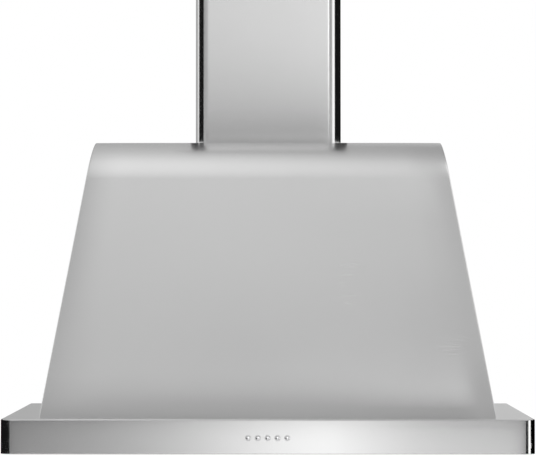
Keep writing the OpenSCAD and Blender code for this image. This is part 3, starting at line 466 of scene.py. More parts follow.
def make_finishes(sizes):
    """Makes every finish of the hood."""
    brushed_steel("canopy_steel", "UV", (8, 2200, 1), sizes.steel_colour, sizes.steel_roughness,
                  sizes.steel_brushing)
    brushed_steel("cover_steel", "UV", (8, 2200, 1), sizes.steel_colour, sizes.edge_roughness,
                  sizes.edge_brushing)
    brushed_steel("panel_steel", "Object", (5, 700, 700), sizes.steel_colour,
                  sizes.steel_roughness + 0.04, 0.5)
    brushed_steel("filter_steel", "UV", (9, 500, 1), sizes.filter_colour, 0.3, 0.4)

    grained("button_chrome", (0.82, 0.82, 0.83), 1, 900, 3, (0.97, 1.02), (0.07, 0.12),
            (0.00001, 0.2))
    grained("screw_steel", (0.62, 0.62, 0.63), 1, 300, 4, (0.85, 1.1), (0.25, 0.42),
            (0.00005, 0.4))
    grained("polished_steel", sizes.steel_colour, 1, 1, 3, (0.94, 1.04), (0.09, 0.17),
            (0.00002, 0.2), stretch=(400, 400, 60))
    grained("motor_paint", (0.03, 0.032, 0.035), 0, 420, 3, (0.85, 1.15), (0.42, 0.6),
            (0.0001, 0.4))
    grained("lead_sheath", (0.03, 0.03, 0.03), 0, 700, 3, (0.8, 1.3), (0.48, 0.66),
            (0.00005, 0.3))
    grained("frosted_glass", (0.66, 0.69, 0.69), 0, 1800, 2, (0.96, 1.02), (0.38, 0.55),
            (0.00004, 0.3), Transmission_Weight=0.35, IOR=1.5)
    grained("lamp_glass", (0.93, 0.92, 0.88), 0, 200, 2, (0.95, 1.03), (0.05, 0.14),
            (0.00005, 0.2), Transmission_Weight=0.6, IOR=1.47)

    zinc = Finish("galvanised_steel", sizes.zinc_colour, metal=0.9)
    flakes = zinc.add("TexVoronoi", {"Vector": zinc.place("Object"), "Scale": 90.0})
    flake = zinc.add("SeparateColor", {"Color": flakes.outputs["Color"]}).outputs["Red"]
    cloud = zinc.noise(zinc.place("Object"), 14, 4)
    zinc.tint(zinc.mean(flake, cloud), 0.82, 1.12)
    zinc.bump(cloud, 0.0002, 0.3)
    zinc.set(Roughness=zinc.span(flake, 0.36, 0.52, 0, 1))

    for name, shade, roughness, grain in (
        ("dark_plastic", (0.035, 0.035, 0.04), 0.46, 1500),
        ("grey_plastic", (0.36, 0.37, 0.38), 0.48, 1300),
        ("white_plastic", (0.74, 0.74, 0.72), 0.44, 1100),
    ):
        plastic = Finish(name, shade)
        pits = plastic.noise(plastic.place("Object"), grain, 2)
        flow = plastic.noise(plastic.place("Object", (1, 1, 4)), 18, 3)
        plastic.tint(flow, 0.92, 1.06)
        plastic.bump(pits, 0.00005, 0.35)
        plastic.set(Roughness=plastic.span(
            plastic.mean(pits, flow), roughness - 0.06, roughness + 0.1))

    board = Finish("circuit_board", (0.02, 0.16, 0.06))
    tracks = board.add("TexBrick", {
        "Vector": board.place("Object", (260, 260, 260), (math.radians(90), 0, 0)),
        "Scale": 1.0, "Mortar Size": 0.12}).outputs["Fac"]
    board.tint(tracks, 0.8, 1.5)
    board.bump(tracks, 0.00005, 0.4)
    board.set(Roughness=board.span(tracks, 0.24, 0.36, 0, 1))


class HOOD_OT_finishes(bpy.types.Operator):
    """Make the finishes and give them to the frame's own pieces"""

    bl_idname = "hood.finishes"
    bl_label = "Finishes"

    def execute(self, context):
        make_finishes(context.scene.hood_finishes)
        slots = {part["node"]: part["material_slot"] for part in frame["record"]["subparts"]}
        for name, node in frame["nodes"].items():
            finish = {"brushed_steel": "panel_steel", "filter_steel": "panel_steel"}.get(
                slots[name], slots[name])
            for slot in node.material_slots:
                slot.material = Finish.made[finish]
        return {"FINISHED"}


# Pieces


class HOOD_OT_tray(bpy.types.Operator):
    """Fold the tray with its rounded corners, its lip and its button holes"""

    bl_idname = "hood.tray"
    bl_label = "Tray"

    def execute(self, context):
        sizes = context.scene.hood_sizes
        low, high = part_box("tray_shell")
        foot_low, foot_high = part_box("canopy_front")
        tray = block("tray", low, high)
        # mouth in the top, inside the canopy's foot
        pick(tray, "FACE", facing(2, 1))
        bpy.ops.mesh.inset(thickness=sizes.mouth_rim)
        half = foot_high.x - sizes.mouth_rim
        bpy.ops.transform.resize(
            value=(half / (high.x - sizes.mouth_rim), 1, 1), center_override=(0, 0, 0))
        pick(tray, "VERT", lambda v: near(v.co.y, low.y + sizes.mouth_rim))
        bpy.ops.transform.translate(value=(0, foot_low.y - low.y, 0))
        open_up(tray, lambda f: f.normal.z > 0.9 and near(f.calc_center_median().x, 0)
                and all(abs(v.co.x) < half + 0.001 for v in f.verts))
        # front corners, then the lip below
        bend(tray, lambda e: upright(e) and near(e.verts[0].co.y, low.y), sizes.tray_corner, 14)
        pick(tray, "FACE", facing(2, -1))
        bpy.ops.mesh.inset(thickness=sizes.tray_lip)
        bpy.ops.mesh.delete(type="FACE")
        # folds round the top and the bottom
        wall = lambda f: abs(f.normal.z) < 0.1
        bend(tray, lambda e: between(e, wall, facing(2, 1)), sizes.tray_fold, 5)
        bend(tray, lambda e: between(e, wall, facing(2, -1)), sizes.tray_hem, 3)
        outward()
        thicken(tray, sizes.sheet)
        for i in range(1, 6):
            spot = middle(f"button_{i}")
            drill(tray, (spot.x, low.y, spot.z), 1, sizes.button_hole, 40)
        complete(tray, "hood", "cover_steel", ["tray_shell"])
        return {"FINISHED"}


class HOOD_OT_canopy(bpy.types.Operator):
    """Bend the canopy's front, roll and top in one sheet and close its sides"""

    bl_idname = "hood.canopy"
    bl_label = "Canopy"

    def execute(self, context):
        sizes = context.scene.hood_sizes
        low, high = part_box("canopy_front")
        lean, roll = sizes.canopy_lean, sizes.roll_radius
        roll_z = high.z - roll
        bend_z = roll_z + roll * math.sin(lean)
        bend_y = low.y + (bend_z - low.z) * math.tan(lean)
        roll_y = bend_y + roll * math.cos(lean)
        # front panel
        alone()
        bpy.ops.mesh.primitive_plane_add(
            size=1, location=(0, (low.y + bend_y) / 2, (low.z + bend_z) / 2),
            rotation=(math.pi / 2 - lean, 0, 0))
        bpy.context.object.scale = (high.x * 2.1, (bend_z - low.z) / math.cos(lean), 1)
        canopy = named("canopy")
        # roll and top
        pick(canopy, "EDGE", on_plane(2, bend_z))
        bpy.ops.mesh.spin(
            steps=28, angle=math.pi / 2 - lean, center=(0, roll_y, roll_z), axis=(1, 0, 0))
        bpy.ops.mesh.extrude_edges_move(TRANSFORM_OT_translate={"value": (0, high.y - roll_y, 0)})
        outward()
        # slanted sides, with rows beside them for the soft crown
        slant = math.atan((high.x - sizes.canopy_top_half) / (high.z - low.z))
        row_slack, edge_slack, foot_slack = 0.0006, 0.0012, 0.0015
        for side in (-1, 1):
            away = Vector((side * math.cos(slant), 0, math.sin(slant)))
            for row in CROWN_ROWS:
                bpy.ops.mesh.select_all(action="SELECT")
                bpy.ops.mesh.bisect(
                    plane_co=Vector((side * high.x, 0, low.z)) - away * row * sizes.crown_width,
                    plane_no=away, clear_outer=row == 0)

        def from_edge(point):
            return (high.x - abs(point.x)) * math.cos(slant) - (point.z - low.z) * math.sin(slant)

        for row in CROWN_ROWS[:-1]:
            pick(canopy, "VERT", lambda v: v.co.y < roll_y + 0.001
                 and near(from_edge(v.co), row * sizes.crown_width, row_slack))
            bpy.ops.transform.translate(value=(0, sizes.crown_depth * (1 - row) ** 2, 0))
        pick(canopy, "VERT", lambda v: v.co.z < low.z + foot_slack)
        bpy.ops.transform.resize(value=(1, 1, 0), center_override=(0, 0, low.z))
        # side panels
        for side in (-1, 1):
            pick(canopy, "VERT", lambda v: near(v.co.z, low.z) and v.co.x * side > 0
                 and near(from_edge(v.co), 0, edge_slack))
            start = max(v.co.y for v in bmesh.from_edit_mesh(canopy.data).verts if v.select)
            bpy.ops.mesh.extrude_vertices_move(
                TRANSFORM_OT_translate={"value": (0, high.y - start, 0)})
            pick(canopy, "VERT",
                 lambda v: v.co.x * side > 0 and near(from_edge(v.co), 0, edge_slack))
            bpy.ops.mesh.edge_face_add()
        outward()
        side_face = lambda f: abs(f.normal.x) > 0.9
        bend(canopy, lambda e: between(e, side_face, lambda f: not side_face(f)),
             sizes.side_bend, 3)
        # foot flange
        pick(canopy, "EDGE", lambda e: on_plane(2, low.z)(e) and len(e.link_faces) == 1)
        bpy.ops.mesh.extrude_edges_move(TRANSFORM_OT_translate={"value": (0, 0, 0)})
        bpy.ops.transform.resize(
            value=(1 - sizes.foot_flange / high.x, 1 + sizes.foot_flange / low.y, 1),
            center_override=(0, 0, low.z))
        thicken(canopy, sizes.sheet)
        duct_y, half = middle("outlet_collar").y, sizes.duct_cut_out / 2
        punch(canopy, block("hole", (-half, duct_y - half, high.z - REACH),
                            (half, duct_y + half, high.z + REACH)))
        spot = middle("cable_gland")
        drill(canopy, (spot.x, spot.y, high.z), 2, sizes.gland_hole, 32)
        complete(canopy, "hood", "canopy_steel",
                 ["canopy_front", "canopy_side_left", "canopy_side_right"])
        return {"FINISHED"}


def chimney_cover(name, node, corner, sizes):
    """A cover bent round its two front corners, with lips turned in at the back."""
    low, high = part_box(node)
    cover = block(name, low, high)
    open_up(cover, lambda f: abs(f.normal.z) > 0.9 or f.normal.y > 0.9)
    pick(cover, "EDGE", lambda e: upright(e) and near(e.verts[0].co.y, high.y))
    bpy.ops.mesh.extrude_edges_move(TRANSFORM_OT_translate={"value": (0, 0, 0)})
    bpy.ops.transform.resize(
        value=(1 - sizes.chimney_lip / high.x, 1, 1), center_override=(0, 0, 0))
    bend(cover, lambda e: upright(e) and near(e.verts[0].co.y, low.y), corner, 14)
    bend(cover, lambda e: upright(e) and near(abs(e.verts[0].co.x), high.x)
         and near(e.verts[0].co.y, high.y), REAR_BEND, 3)
    outward()
    thicken(cover, sizes.sheet)
    return cover


class HOOD_OT_chimney(bpy.types.Operator):
    """Bend the two chimney covers and cut the vents of the upper one"""

    bl_idname = "hood.chimney"
    bl_label = "Chimney"

    def execute(self, context):
        sizes = context.scene.hood_sizes
        lower = chimney_cover("chimney_lower_cover", "chimney_lower", sizes.chimney_corner, sizes)
        ease(lower, CUT_EDGE, 60)
        complete(lower, "hood", "cover_steel", ["chimney_lower"])

        upper = chimney_cover(
            "chimney_upper_cover", "chimney_upper", sizes.chimney_corner - INNER_STEP, sizes)
        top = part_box("chimney_upper")[1].z - sizes.vent_drop
        across, half = 0.2, 0.002
        slot = block("slots", (-across, -half, top - sizes.vent_height), (across, half, top))
        bend(slot, lambda e: near(e.verts[0].co.y, e.verts[1].co.y)
             and near(e.verts[0].co.z, e.verts[1].co.z), half * 0.95, 4)
        first = middle("chimney_lower").y - (sizes.vent_count - 1) / 2 * sizes.vent_pitch
        slots = [copied(slot, f"slot_{i}", (0, first + i * sizes.vent_pitch, 0))
                 for i in range(sizes.vent_count)]
        discard(slot)
        punch(upper, join(*slots))
        ease(upper, CUT_EDGE, 60)
        complete(upper, "upper_chimney", "cover_steel", ["chimney_upper"])
        return {"FINISHED"}


class HOOD_OT_buttons(bpy.types.Operator):
    """Model one push button with a domed cap and copy it to its five places"""

    bl_idname = "hood.buttons"
    bl_label = "Push buttons"

    def execute(self, context):
        low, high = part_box("button_3")
        x, z = (low.x + high.x) / 2, (low.z + high.z) / 2
        radius, rise, head = high.x - x, 0.0011, 0.007
        rim, stem, stem_edge = 0.0005, 0.002, 0.0004
        button = rod("button", (x, low.y + rise, z), (x, low.y + head, z), radius, 40)
        pick(button, "FACE", facing(1, -1))
        dome(BUTTON_DOME)
        pick(button, "FACE", facing(1, 1))
        bpy.ops.mesh.inset(thickness=rim)
        bpy.ops.mesh.inset(thickness=radius - rim - stem)
        bpy.ops.mesh.extrude_region_move(TRANSFORM_OT_translate={
            "value": (0, high.y - low.y - head, 0)})
        bpy.ops.mesh.inset(thickness=stem_edge)
        for i in range(1, 6):
            cap = copied(button, f"push_button_{i}", (middle(f"button_{i}").x - x, 0, 0))
            complete(cap, f"push_button_{i}", "button_chrome",
                     [f"button_{i}"], 40)
        discard(button)
        return {"FINISHED"}


def filter_frame(sizes, low, high, pivot):
    """The rim of a filter, with its rear pins."""
    corner, fold, skin, pin_in, pin_radius, pin_edge = 0.003, 0.0014, 0.001, 0.002, 0.0024, 0.0005
    rim = block("filter_rim", low, high)
    for sign in (1, -1):
        pick(rim, "FACE", facing(2, sign))
        bpy.ops.mesh.inset(thickness=sizes.filter_rim)
    centre = (low + high) / 2
    open_up(rim, lambda f: abs(f.normal.z) > 0.9
            and (f.calc_center_median() - centre).xy.length < 0.01)
    bend(rim, upright, corner, 4)
    bend(rim, lambda e: between(e, lambda f: abs(f.normal.z) < 0.1,
                                lambda f: abs(f.normal.z) > 0.9), fold, 3)
    outward()
    thicken(rim, skin)
    parts = [rim]
    for side, face in ((-1, low.x), (1, high.x)):
        pin = rod("pin", (face - side * pin_in, pivot.y, pivot.z),
                  (face + side * PIN_OUT, pivot.y, pivot.z), pin_radius, 20)
        ease(pin, pin_edge)
        parts.append(pin)
    return parts


def handle_ears(sizes, hang):
    """Two ears with a hole each for the handle's wire."""
    place, half, below, above = 0.025, 0.00125, 0.0042, 0.0051
    ears = []
    for x in (-place, place):
        ear = block("ear", (x - half, hang.y - below, hang.z - below),
                    (x + half, hang.y + below, hang.z + above))
        bend(ear, lambda e: on_plane(2, hang.z - below)(e)
             and near(e.verts[0].co.y, e.verts[1].co.y), below - PLAY, 8)
        drill(ear, (x, hang.y, hang.z), 0, sizes.wire_radius + PLAY, 24)
        ears.append(ear)
    return ears


def baffle(name, low, high, opening):
    """One folded baffle, open upwards or downwards."""
    fold, skin = 0.002, 0.0008
    piece = block(name, low, high)
    open_up(piece, lambda f: abs(f.normal.y) > 0.9 or f.normal.z * opening > 0.9)
    foot = low[2] if opening > 0 else high[2]
    bend(piece, lambda e: on_plane(2, foot)(e) and near(e.verts[0].co.x, e.verts[1].co.x),
         fold, 3)
    outward()
    thicken(piece, skin)
    return piece


def wire_handle(sizes, hang, drop):
    """A wire bent down from one ear, across and up into the other."""
    half, low_bend, top_bend, end = sizes.handle_half, sizes.handle_bend, 0.0026, 0.0275
    alone()
    bpy.ops.mesh.primitive_circle_add(
        vertices=14, radius=sizes.wire_radius, fill_type="NGON",
        location=(-end, hang.y, hang.z), rotation=(0, math.pi / 2, 0))
    wire = named("handle_wire")
    bpy.ops.object.mode_set(mode="EDIT")
    bpy.ops.mesh.select_mode(type="FACE")
    bpy.ops.mesh.select_all(action="SELECT")

    def straight(x, z):
        bpy.ops.mesh.extrude_region_move(TRANSFORM_OT_translate={"value": (x, 0, z)})

    def turn(x, z, axis, steps):
        bpy.ops.mesh.spin(steps=steps, angle=math.pi / 2, axis=(0, axis, 0),
                          center=(x, hang.y, hang.z + z))

    straight(end - half - top_bend, 0)
    turn(-half - top_bend, -top_bend, -1, 5)
    straight(0, -(drop - low_bend - top_bend))
    turn(-half + low_bend, -drop + low_bend, 1, 7)
    straight(2 * (half - low_bend), 0)
    turn(half - low_bend, -drop + low_bend, 1, 7)
    straight(0, drop - low_bend - top_bend)
    turn(half + top_bend, -top_bend, -1, 5)
    straight(end - half - top_bend, 0)
    outward()
    return wire


class HOOD_OT_filters(bpy.types.Operator):
    """Model one baffle filter with its wire handle and copy it to its three places"""

    bl_idname = "hood.filters"
    bl_label = "Baffle filters"

    def execute(self, context):
        sizes = context.scene.hood_sizes
        low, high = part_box("filter_frame_centre")
        wire_low, wire_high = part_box("filter_handle_centre")
        rim_low = Vector((low.x + PIN_OUT, low.y, high.z - sizes.filter_height))
        rim_high = Vector((high.x - PIN_OUT, high.y, high.z))
        pivot = Vector((0, high.y - sizes.filter_height / 2, high.z - sizes.filter_height / 2))
        hang = Vector((0, (wire_low.y + wire_high.y) / 2, wire_high.z - sizes.wire_radius))
        rim = join(*filter_frame(sizes, rim_low, rim_high, pivot), *handle_ears(sizes, hang))

        b_low, b_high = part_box("filter_baffles_centre")
        half, step, gap = sizes.baffle_width / 2, sizes.baffle_pitch, 0.0002
        count = round((b_high.x - b_low.x - sizes.baffle_width) / step) + 1
        z = (b_low.z + b_high.z) / 2
        lower = baffle("lower_baffle", (-half, b_low.y, b_low.z), (half, b_high.y, z - gap), 1)
        upper = baffle("upper_baffle", (-half, b_low.y, z + gap), (half, b_high.y, b_high.z), -1)
        row = [copied(lower, f"low_{i}", ((i - (count - 1) / 2) * step, 0, 0))
               for i in range(count)]
        row += [copied(upper, f"high_{i}", ((i - (count - 2) / 2) * step, 0, 0))
                for i in range(count - 1)]
        discard(lower, upper)
        baffles = join(*row)
        wire = wire_handle(sizes, hang, wire_high.z - wire_low.z - 2 * sizes.wire_radius)

        for side in FILTER_PLACES:
            move = (middle(f"filter_frame_{side}").x, 0, 0)
            for piece, kind, body in (
                (rim, "frame", "filter"),
                (baffles, "baffles", "filter"),
                (wire, "handle", "handle"),
            ):
                part = copied(piece, f"baffle_filter_{kind}_{side}", move)
                complete(part, f"{body}_{side}", "filter_steel",
                         [f"filter_{kind}_{side}"])
        discard(rim, baffles, wire)
        return {"FINISHED"}


class HOOD_OT_lamps(bpy.types.Operator):
    """Model one lamp's bezel and lens and copy them to both places"""

    bl_idname = "hood.lamps"
    bl_label = "Lamps"

    def execute(self, context):
        low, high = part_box("lamp_bezel_right")
        lens_low, lens_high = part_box("lamp_lens_right")
        seat, collar, fold, skin = 0.0018, 0.0025, 0.0012, 0.0006
        x, y = (low.x + high.x) / 2, (low.y + high.y) / 2
        radius, inner = high.x - x, lens_high.x - x - seat
        bezel = rod("bezel", (x, y, low.z), (x, y, low.z + collar), radius, 72)
        open_up(bezel, facing(2, 1))
        pick(bezel, "FACE", facing(2, -1))
        bpy.ops.mesh.inset(thickness=radius - inner)
        bpy.ops.mesh.extrude_region_move(TRANSFORM_OT_translate={
            "value": (0, 0, high.z - low.z)})
        bpy.ops.mesh.delete(type="FACE")
        flat = facing(2, -1)
        bend(bezel, lambda e: between(e, flat, lambda f: not flat(f)), fold, 4)
        outward()
        thicken(bezel, skin)
        lens = rod("lens", (x, y, lens_low.z + skin), (x, y, lens_high.z), lens_high.x - x, 72)
        pick(lens, "FACE", facing(2, -1))
        dome(((seat, 0.0), *LENS_DOME))
        for side in ("left", "right"):
            move = (middle(f"lamp_bezel_{side}").x - x, 0, 0)
            ring = copied(bezel, f"bezel_{side}", move)
            complete(ring, "hood", "polished_steel", [f"lamp_bezel_{side}"])
            disc = copied(lens, f"lens_{side}", move)
            complete(disc, "hood", "frosted_glass", [f"lamp_lens_{side}"])
        discard(bezel, lens)
        return {"FINISHED"}


# Studio: levels of light by place across in metres, unless a comment says otherwise


FRONT_LOW = ((-5.0, 0.02), (-1.4, 0.03), (-1.2, 0.08), (-0.8, 0.20), (-0.4, 0.38), (0.0, 0.68),
             (0.28, 1.0), (0.44, 0.66), (0.66, 0.36), (1.1, 0.32), (1.4, 0.26), (5.0, 0.2))
FRONT_HIGH = ((-5.0, 0.6), (-0.4, 0.72), (0.4, 0.85), (1.0, 0.6), (5.0, 0.5))
BEHIND = ((-4, 0.5), (-0.7, 0.5), (0.7, 0.68), (4, 0.68))
SCRIM_ACROSS = ((-6.5, 1.0), (-3.6, 0.9), (-2.8, 0.62), (-2.0, 0.80), (-1.5, 0.93), (-0.9, 1.0),
                (0, 0.91), (0.9, 0.76), (1.5, 0.72), (2.0, 0.62), (2.8, 0.52), (3.6, 0.8),
                (6.5, 0.95))
# Levels of the scrim by rise in degrees over its axis
SCRIM_RISE = ((12, 0.46), (22, 0.53), (30, 0.70), (42, 0.88), (52, 0.95), (64, 0.97), (80, 0.84),
              (94, 0.65), (116, 0.54), (168, 0.54))
SCRIM_STRENGTH = 1.18
SCRIM_AXIS = 0.5
# How many degrees lower the scrim's bright band lies on the right, and between which places
SCRIM_TWIST = 9.0
TWIST_FROM, TWIST_TO = -0.6, 0.8
# How thick the faint card in front of the canopy is, across and upwards: it shades the lower half
CANOPY_SHADE_ACROSS = ((-0.5, 0.0), (-0.1, 0.04), (0.25, 0.055), (0.36, 0.08), (0.5, 0.0))
CANOPY_SHADE_UP = ((0.13, 0.0), (0.2, 1.0), (0.34, 0.85), (0.48, 0.0))
# The same for the card over the canopy's top, which shades the chimney's foot
COVER_SHADE_ACROSS = ((-0.19, 0.0), (-0.12, 1.0), (0.1, 1.0), (0.16, 0.0))
COVER_SHADE_UP = ((0.598, 0.95), (0.62, 0.6), (0.645, 0.28), (0.67, 0.1), (0.70, 0.03),
                  (0.76, 0.0))
# Front corners that cards are bent round, and the heights of those cards
COVER_CORNER, COVER_FAR, COVER_NEAR = (0.118, -0.223), (0.42, 1.5), (0.6, 1.0)
TRAY_CORNER, TRAY_FAR, TRAY_NEAR = (0.481, -0.501), (-0.26, 0.17), (-0.01, 0.075)
LAMP_SIZE = 2.4
SENSOR_WIDTH = 36


def graded(tree, value, levels):
    """A grey by a value, between (place, level) stops. A single level stays the same all over."""
    if isinstance(levels, float):
        return (levels, levels, levels, 1)
    first, last = levels[0][0], levels[-1][0]
    least = 0.001
    share = node(tree, "MapRange", {
        "Value": value, "From Min": first, "From Max": max(last, first + least)})
    ramp = node(tree, "ValToRGB", {0: share.outputs["Result"]})
    stops = ramp.color_ramp.elements
    ramp.color_ramp.interpolation = "CARDINAL"
    while len(stops) < len(levels):
        stops.new(0.5)
    for stop, (place, level) in zip(stops, levels):
        stop.position = (place - first) / max(last - first, least)
        stop.color = (level, level, level, 1)
    return ramp.outputs["Color"]


def reflected_only(sheet, levels, strength=1.0, body=None):
    """Lights a sheet that is seen in reflections alone.

    levels makes its grey out of its nodes and coordinates, and body, if any, how thick it is.
    """
    material = bpy.data.materials.new(sheet.name)
    material.use_nodes = True
    material.cycles.emission_sampling = "NONE"
    tree = material.node_tree
    tree.nodes.clear()
    place = node(tree, "SeparateXYZ", {0: node(tree, "TexCoord").outputs["Object"]}).outputs
    light = node(tree, "Emission", {"Color": levels(tree, place), "Strength": strength}).outputs[0]
    if body:
        clear = node(tree, "BsdfTransparent").outputs[0]
        light = node(tree, "MixShader", {0: body(tree, place), 1: clear, 2: light}).outputs[0]
    node(tree, "OutputMaterial", {"Surface": light})
    sheet.data.materials.append(material)
    sheet.visible_camera = sheet.visible_diffuse = sheet.visible_shadow = False
    sheet.visible_transmission = sheet.visible_volume_scatter = False


def card(name, low, high, levels, strength=1.0):
    """A thin upright card square to the hood, between two corners, graded across."""
    reflected_only(block(name, low, high),
                   lambda tree, place: graded(tree, place["X"], levels), strength)


def soft_card(name, low, high, level, across, upwards):
    """A card of one level that thins out towards its ends, between stops across and upwards."""
    def body(tree, place):
        return node(tree, "Math", {
            0: graded(tree, place["X"], across), 1: graded(tree, place["Z"], upwards),
        }, operation="MULTIPLY").outputs[0]

    reflected_only(block(name, low, high), lambda tree, place: graded(tree, place["X"], level),
                   body=body)


def bent(name, keep, **shape):
    """The faces of an open cylinder whose middles pass a test."""
    alone()
    bpy.ops.mesh.primitive_cylinder_add(end_fill_type="NOTHING", **shape)
    sheet = named(name)
    open_up(sheet, lambda f: not keep(f.calc_center_median()))
    bpy.ops.object.mode_set(mode="OBJECT")
    return sheet


def wrap(name, side, corner, radius, turns, heights, *levels):
    """A card bent round a corner of the hood, between two turns to the right of its front.

    Its levels of light are spread evenly over its turns, from the left end to the right one.
    """
    x, y = side * corner[0], corner[1]

    def within(point):
        return turns[0] < math.degrees(math.atan2(point.x - x, y - point.y)) < turns[1]

    sheet = bent(name, within, vertices=180, radius=radius, depth=heights[1] - heights[0],
                 location=(x, y, (heights[0] + heights[1]) / 2))
    stops = levels[0]
    if len(levels) > 1:
        gap = math.radians(turns[1] - turns[0]) / (len(levels) - 1)
        stops = [(x + radius * math.sin(math.radians(turns[0]) + gap * i), level)
                 for i, level in enumerate(levels)]
    reflected_only(sheet, lambda tree, place: graded(tree, place["X"], stops))


def scrim():
    """A bowed screen over the hood, lit more strongly where the roll shows its highlight."""
    def levels(tree, place):
        def step(operation, first, second):
            return node(tree, "Math", {0: first, 1: second}, operation=operation).outputs[0]

        height = step("SUBTRACT", place["Z"], SCRIM_AXIS)
        rise = step("ARCTAN2", height, step("MULTIPLY", place["Y"], -1))
        twist = node(tree, "MapRange", {
            "Value": place["X"], "From Min": TWIST_FROM, "From Max": TWIST_TO,
            "To Max": SCRIM_TWIST}).outputs["Result"]
        degrees = step("ADD", step("MULTIPLY", rise, 180 / math.pi), twist)
        return node(tree, "Mix", {
            "Factor": 1, 6: graded(tree, degrees, SCRIM_RISE),
            7: graded(tree, place["X"], SCRIM_ACROSS),
        }, data_type="RGBA", blend_type="MULTIPLY").outputs[2]

    low, high = math.radians(13), math.radians(168)
    sheet = bent("scrim", lambda point: low < math.atan2(point.z - SCRIM_AXIS, -point.y) < high,
                 vertices=96, radius=6, depth=14, location=(0, 0, SCRIM_AXIS),
                 rotation=(0, math.pi / 2, 0))
    reflected_only(sheet, levels, SCRIM_STRENGTH)


def floor(level):
    """A pale floor that fades out far from the hood and isn't there from below."""
    alone()
    bpy.ops.mesh.primitive_circle_add(
        vertices=128, radius=6, fill_type="NGON", location=(0, -0.26, level))
    sheet = named("floor")
    paper = Finish("floor_paper", (0.84, 0.84, 0.84))
    paper.set(Roughness=0.8)
    grain = paper.noise(paper.place("Object"), 40, 4)
    paper.tint(grain, 0.98, 1.02)
    paper.bump(grain, 0.0003, 0.2)
    far = paper.add("VectorMath", {0: paper.place("Object", (1, 1, 0))}, operation="LENGTH")
    fade = paper.span(far.outputs["Value"], 0, 1, 2.2, 5.6)
    below = paper.add("NewGeometry").outputs["Backfacing"]
    gone = paper.add("Math", {0: fade, 1: below}, operation="MAXIMUM", use_clamp=True)
    mix = paper.add("MixShader", {0: gone.outputs[0], 1: paper.surface.outputs[0],
                                  2: paper.add("BsdfTransparent").outputs[0]})
    fill(paper.tree, paper.tree.nodes["Material Output"], {"Surface": mix.outputs[0]})
    sheet.data.materials.append(paper.material)


def white_room():
    """A world that is plain white where it is seen or reflected, and lights the hood softly."""
    world = bpy.data.worlds.new("white_room")
    bpy.context.scene.world = world
    world.use_nodes = True
    world.cycles.sampling_method = "NONE"
    tree = world.node_tree
    tree.nodes.clear()
    path = node(tree, "LightPath").outputs
    seen = path["Is Camera Ray"]
    for ray in ("Is Glossy Ray", "Is Transmission Ray"):
        seen = node(tree, "Math", {0: seen, 1: path[ray]}, operation="MAXIMUM").outputs[0]
    soft, white = (node(tree, "Background", {"Color": (1, 1, 1, 1), "Strength": strength})
                   for strength in (0.55, 1.0))
    mix = node(tree, "MixShader", {0: seen, 1: soft.outputs[0], 2: white.outputs[0]})
    node(tree, "OutputWorld", {"Surface": mix.outputs[0]})


def lamp(name, place, target, power):
    """A large soft lamp."""
    alone()
    bpy.ops.object.light_add(type="AREA", location=place)
    light = bpy.context.object
    light.name = name
    light.data.shape = "SQUARE"
    light.data.size = LAMP_SIZE
    light.data.energy = power
    light.visible_glossy = False
    light.rotation_euler = (Vector(target) - Vector(place)).to_track_quat("-Z", "Y").to_euler()


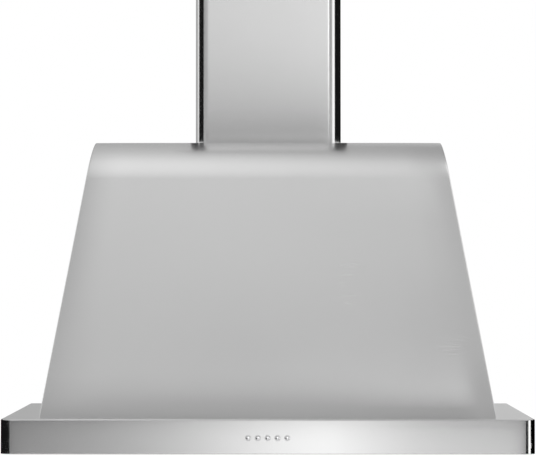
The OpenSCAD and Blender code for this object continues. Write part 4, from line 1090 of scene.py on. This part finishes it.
class HOOD_OT_studio(bpy.types.Operator):
    """Set up the floor, the white room, the cards, the lamps and the camera"""

    bl_idname = "hood.studio"
    bl_label = "Studio"

    def execute(self, context):
        studio = context.scene.hood_studio
        floor(studio.floor_level)
        white_room()
        scrim()
        card("front_high", (-5, -8, 0.4), (5, -7.99, 3.4), FRONT_HIGH, strength=1.76)
        card("front_low", (-5, -8, -4), (5, -7.99, 0.4), FRONT_LOW, strength=2.0)
        card("behind", (-4, 1.8, -1.5), (4, 1.81, 2.5), BEHIND)
        # what the canopy's lower half and the chimney's foot reflect
        card("dim_strip", (-2, -1.41, 0.42), (2, -1.4, 0.80), 0.56)
        card("foot_strip", (-1, -0.69, 0.08), (1, -0.68, 0.152), 0.2)
        soft_card("canopy_shade", (-0.5, -0.621, 0.13), (0.5, -0.62, 0.48), 0.1,
                  CANOPY_SHADE_ACROSS, CANOPY_SHADE_UP)
        soft_card("cover_shade", (-0.19, -0.331, 0.598), (0.16, -0.33, 0.76), 0.47,
                  COVER_SHADE_ACROSS, COVER_SHADE_UP)
        # what the chimney's and the tray's front corners reflect
        for name, side, *form in (
            ("cover_fade", -1, 3.0, (-50, -8), COVER_FAR, 0.12, 0.34, 0.56, 0.70, 0.80),
            ("cover_left", -1, 0.04, (-66, -32), COVER_NEAR, 0.012),
            ("cover_glint", 1, 5.5, (4, 17), (0.9, 2.3), 2.4),
            ("cover_grey", 1, 3.0, (18, 42), COVER_FAR, 0.36),
            ("cover_strip", 1, 0.7, (42, 70), COVER_FAR, 1.4),
            ("cover_right", 1, 0.04, (43, 137), COVER_NEAR, 0.22, 0.06, 0.03, 0.01, 0.01),
            ("end_fade", -1, 0.25, (-32, -7), TRAY_FAR, 0.0),
            ("end_left", -1, 0.03, (-141, -18), TRAY_NEAR, 0.01),
            ("end_dim", 1, 0.25, (6, 36), TRAY_FAR, 0.0),
            ("end_strip", 1, 0.25, (36, 68), TRAY_FAR, 1.5),
            ("end_right", 1, 0.03, (44, 141), TRAY_NEAR, 0.0),
        ):
            corner = COVER_CORNER if name.startswith("cover") else TRAY_CORNER
            wrap(name, side, corner, *form)
        # what the buttons reflect
        card("button_glint", (1.0, -3.01, -0.8), (2.6, -3.0, 0.3), 1.4)
        card("button_shade", (-3.2, -2.01, -0.3), (-1.0, -2.0, 0.12), 0.02)
        lamp("key_lamp", (-2.2, -3.4, 3.4), (0, -0.2, 0.4), 90)
        lamp("fill_lamp", (2.8, -3.0, 1.6), (0, -0.2, 0.4), 40)
        lamp("back_lamp", (0.5, 3.0, 2.6), (0, -0.1, 0.5), 50)
        alone()
        bpy.ops.object.camera_add(
            location=studio.eye, rotation=(math.pi / 2 + studio.pitch, 0, -studio.yaw))
        camera = bpy.context.object
        camera.name = "camera"
        camera.data.lens = studio.lens
        camera.data.sensor_width = SENSOR_WIDTH
        context.scene.camera = camera
        context.scene.view_settings.view_transform = "Standard"
        return {"FINISHED"}


class HOOD_PT_panel(bpy.types.Panel):
    """Pieces, finishes and studio of the range hood"""

    bl_idname = "HOOD_PT_panel"
    bl_label = "Range Hood"
    bl_space_type = "VIEW_3D"
    bl_region_type = "UI"
    bl_category = "Hood"

    def draw(self, context):
        layout = self.layout
        for group in ("hood_sizes", "hood_finishes", "hood_studio"):
            box = layout.box()
            settings = getattr(context.scene, group)
            for key in settings.__annotations__:
                box.prop(settings, key)
        for step in STEPS:
            layout.operator(step.bl_idname)


STEPS = (HOOD_OT_finishes, HOOD_OT_tray, HOOD_OT_canopy, HOOD_OT_chimney, HOOD_OT_buttons,
         HOOD_OT_filters, HOOD_OT_lamps, HOOD_OT_studio)
CLASSES = (HoodSizes, HoodFinishes, HoodStudio, *STEPS, HOOD_PT_panel)


def register():
    for item in CLASSES:
        bpy.utils.register_class(item)
    bpy.types.Scene.hood_sizes = bpy.props.PointerProperty(type=HoodSizes)
    bpy.types.Scene.hood_finishes = bpy.props.PointerProperty(type=HoodFinishes)
    bpy.types.Scene.hood_studio = bpy.props.PointerProperty(type=HoodStudio)


def unregister():
    del bpy.types.Scene.hood_sizes, bpy.types.Scene.hood_finishes, bpy.types.Scene.hood_studio
    for item in reversed(CLASSES):
        bpy.utils.unregister_class(item)


def main():
    """Makes every piece in order, then the studio."""
    register()
    for step in STEPS:
        group, name = step.bl_idname.split(".")
        getattr(getattr(bpy.ops, group), name)()


if __name__ == "__main__":
    main()
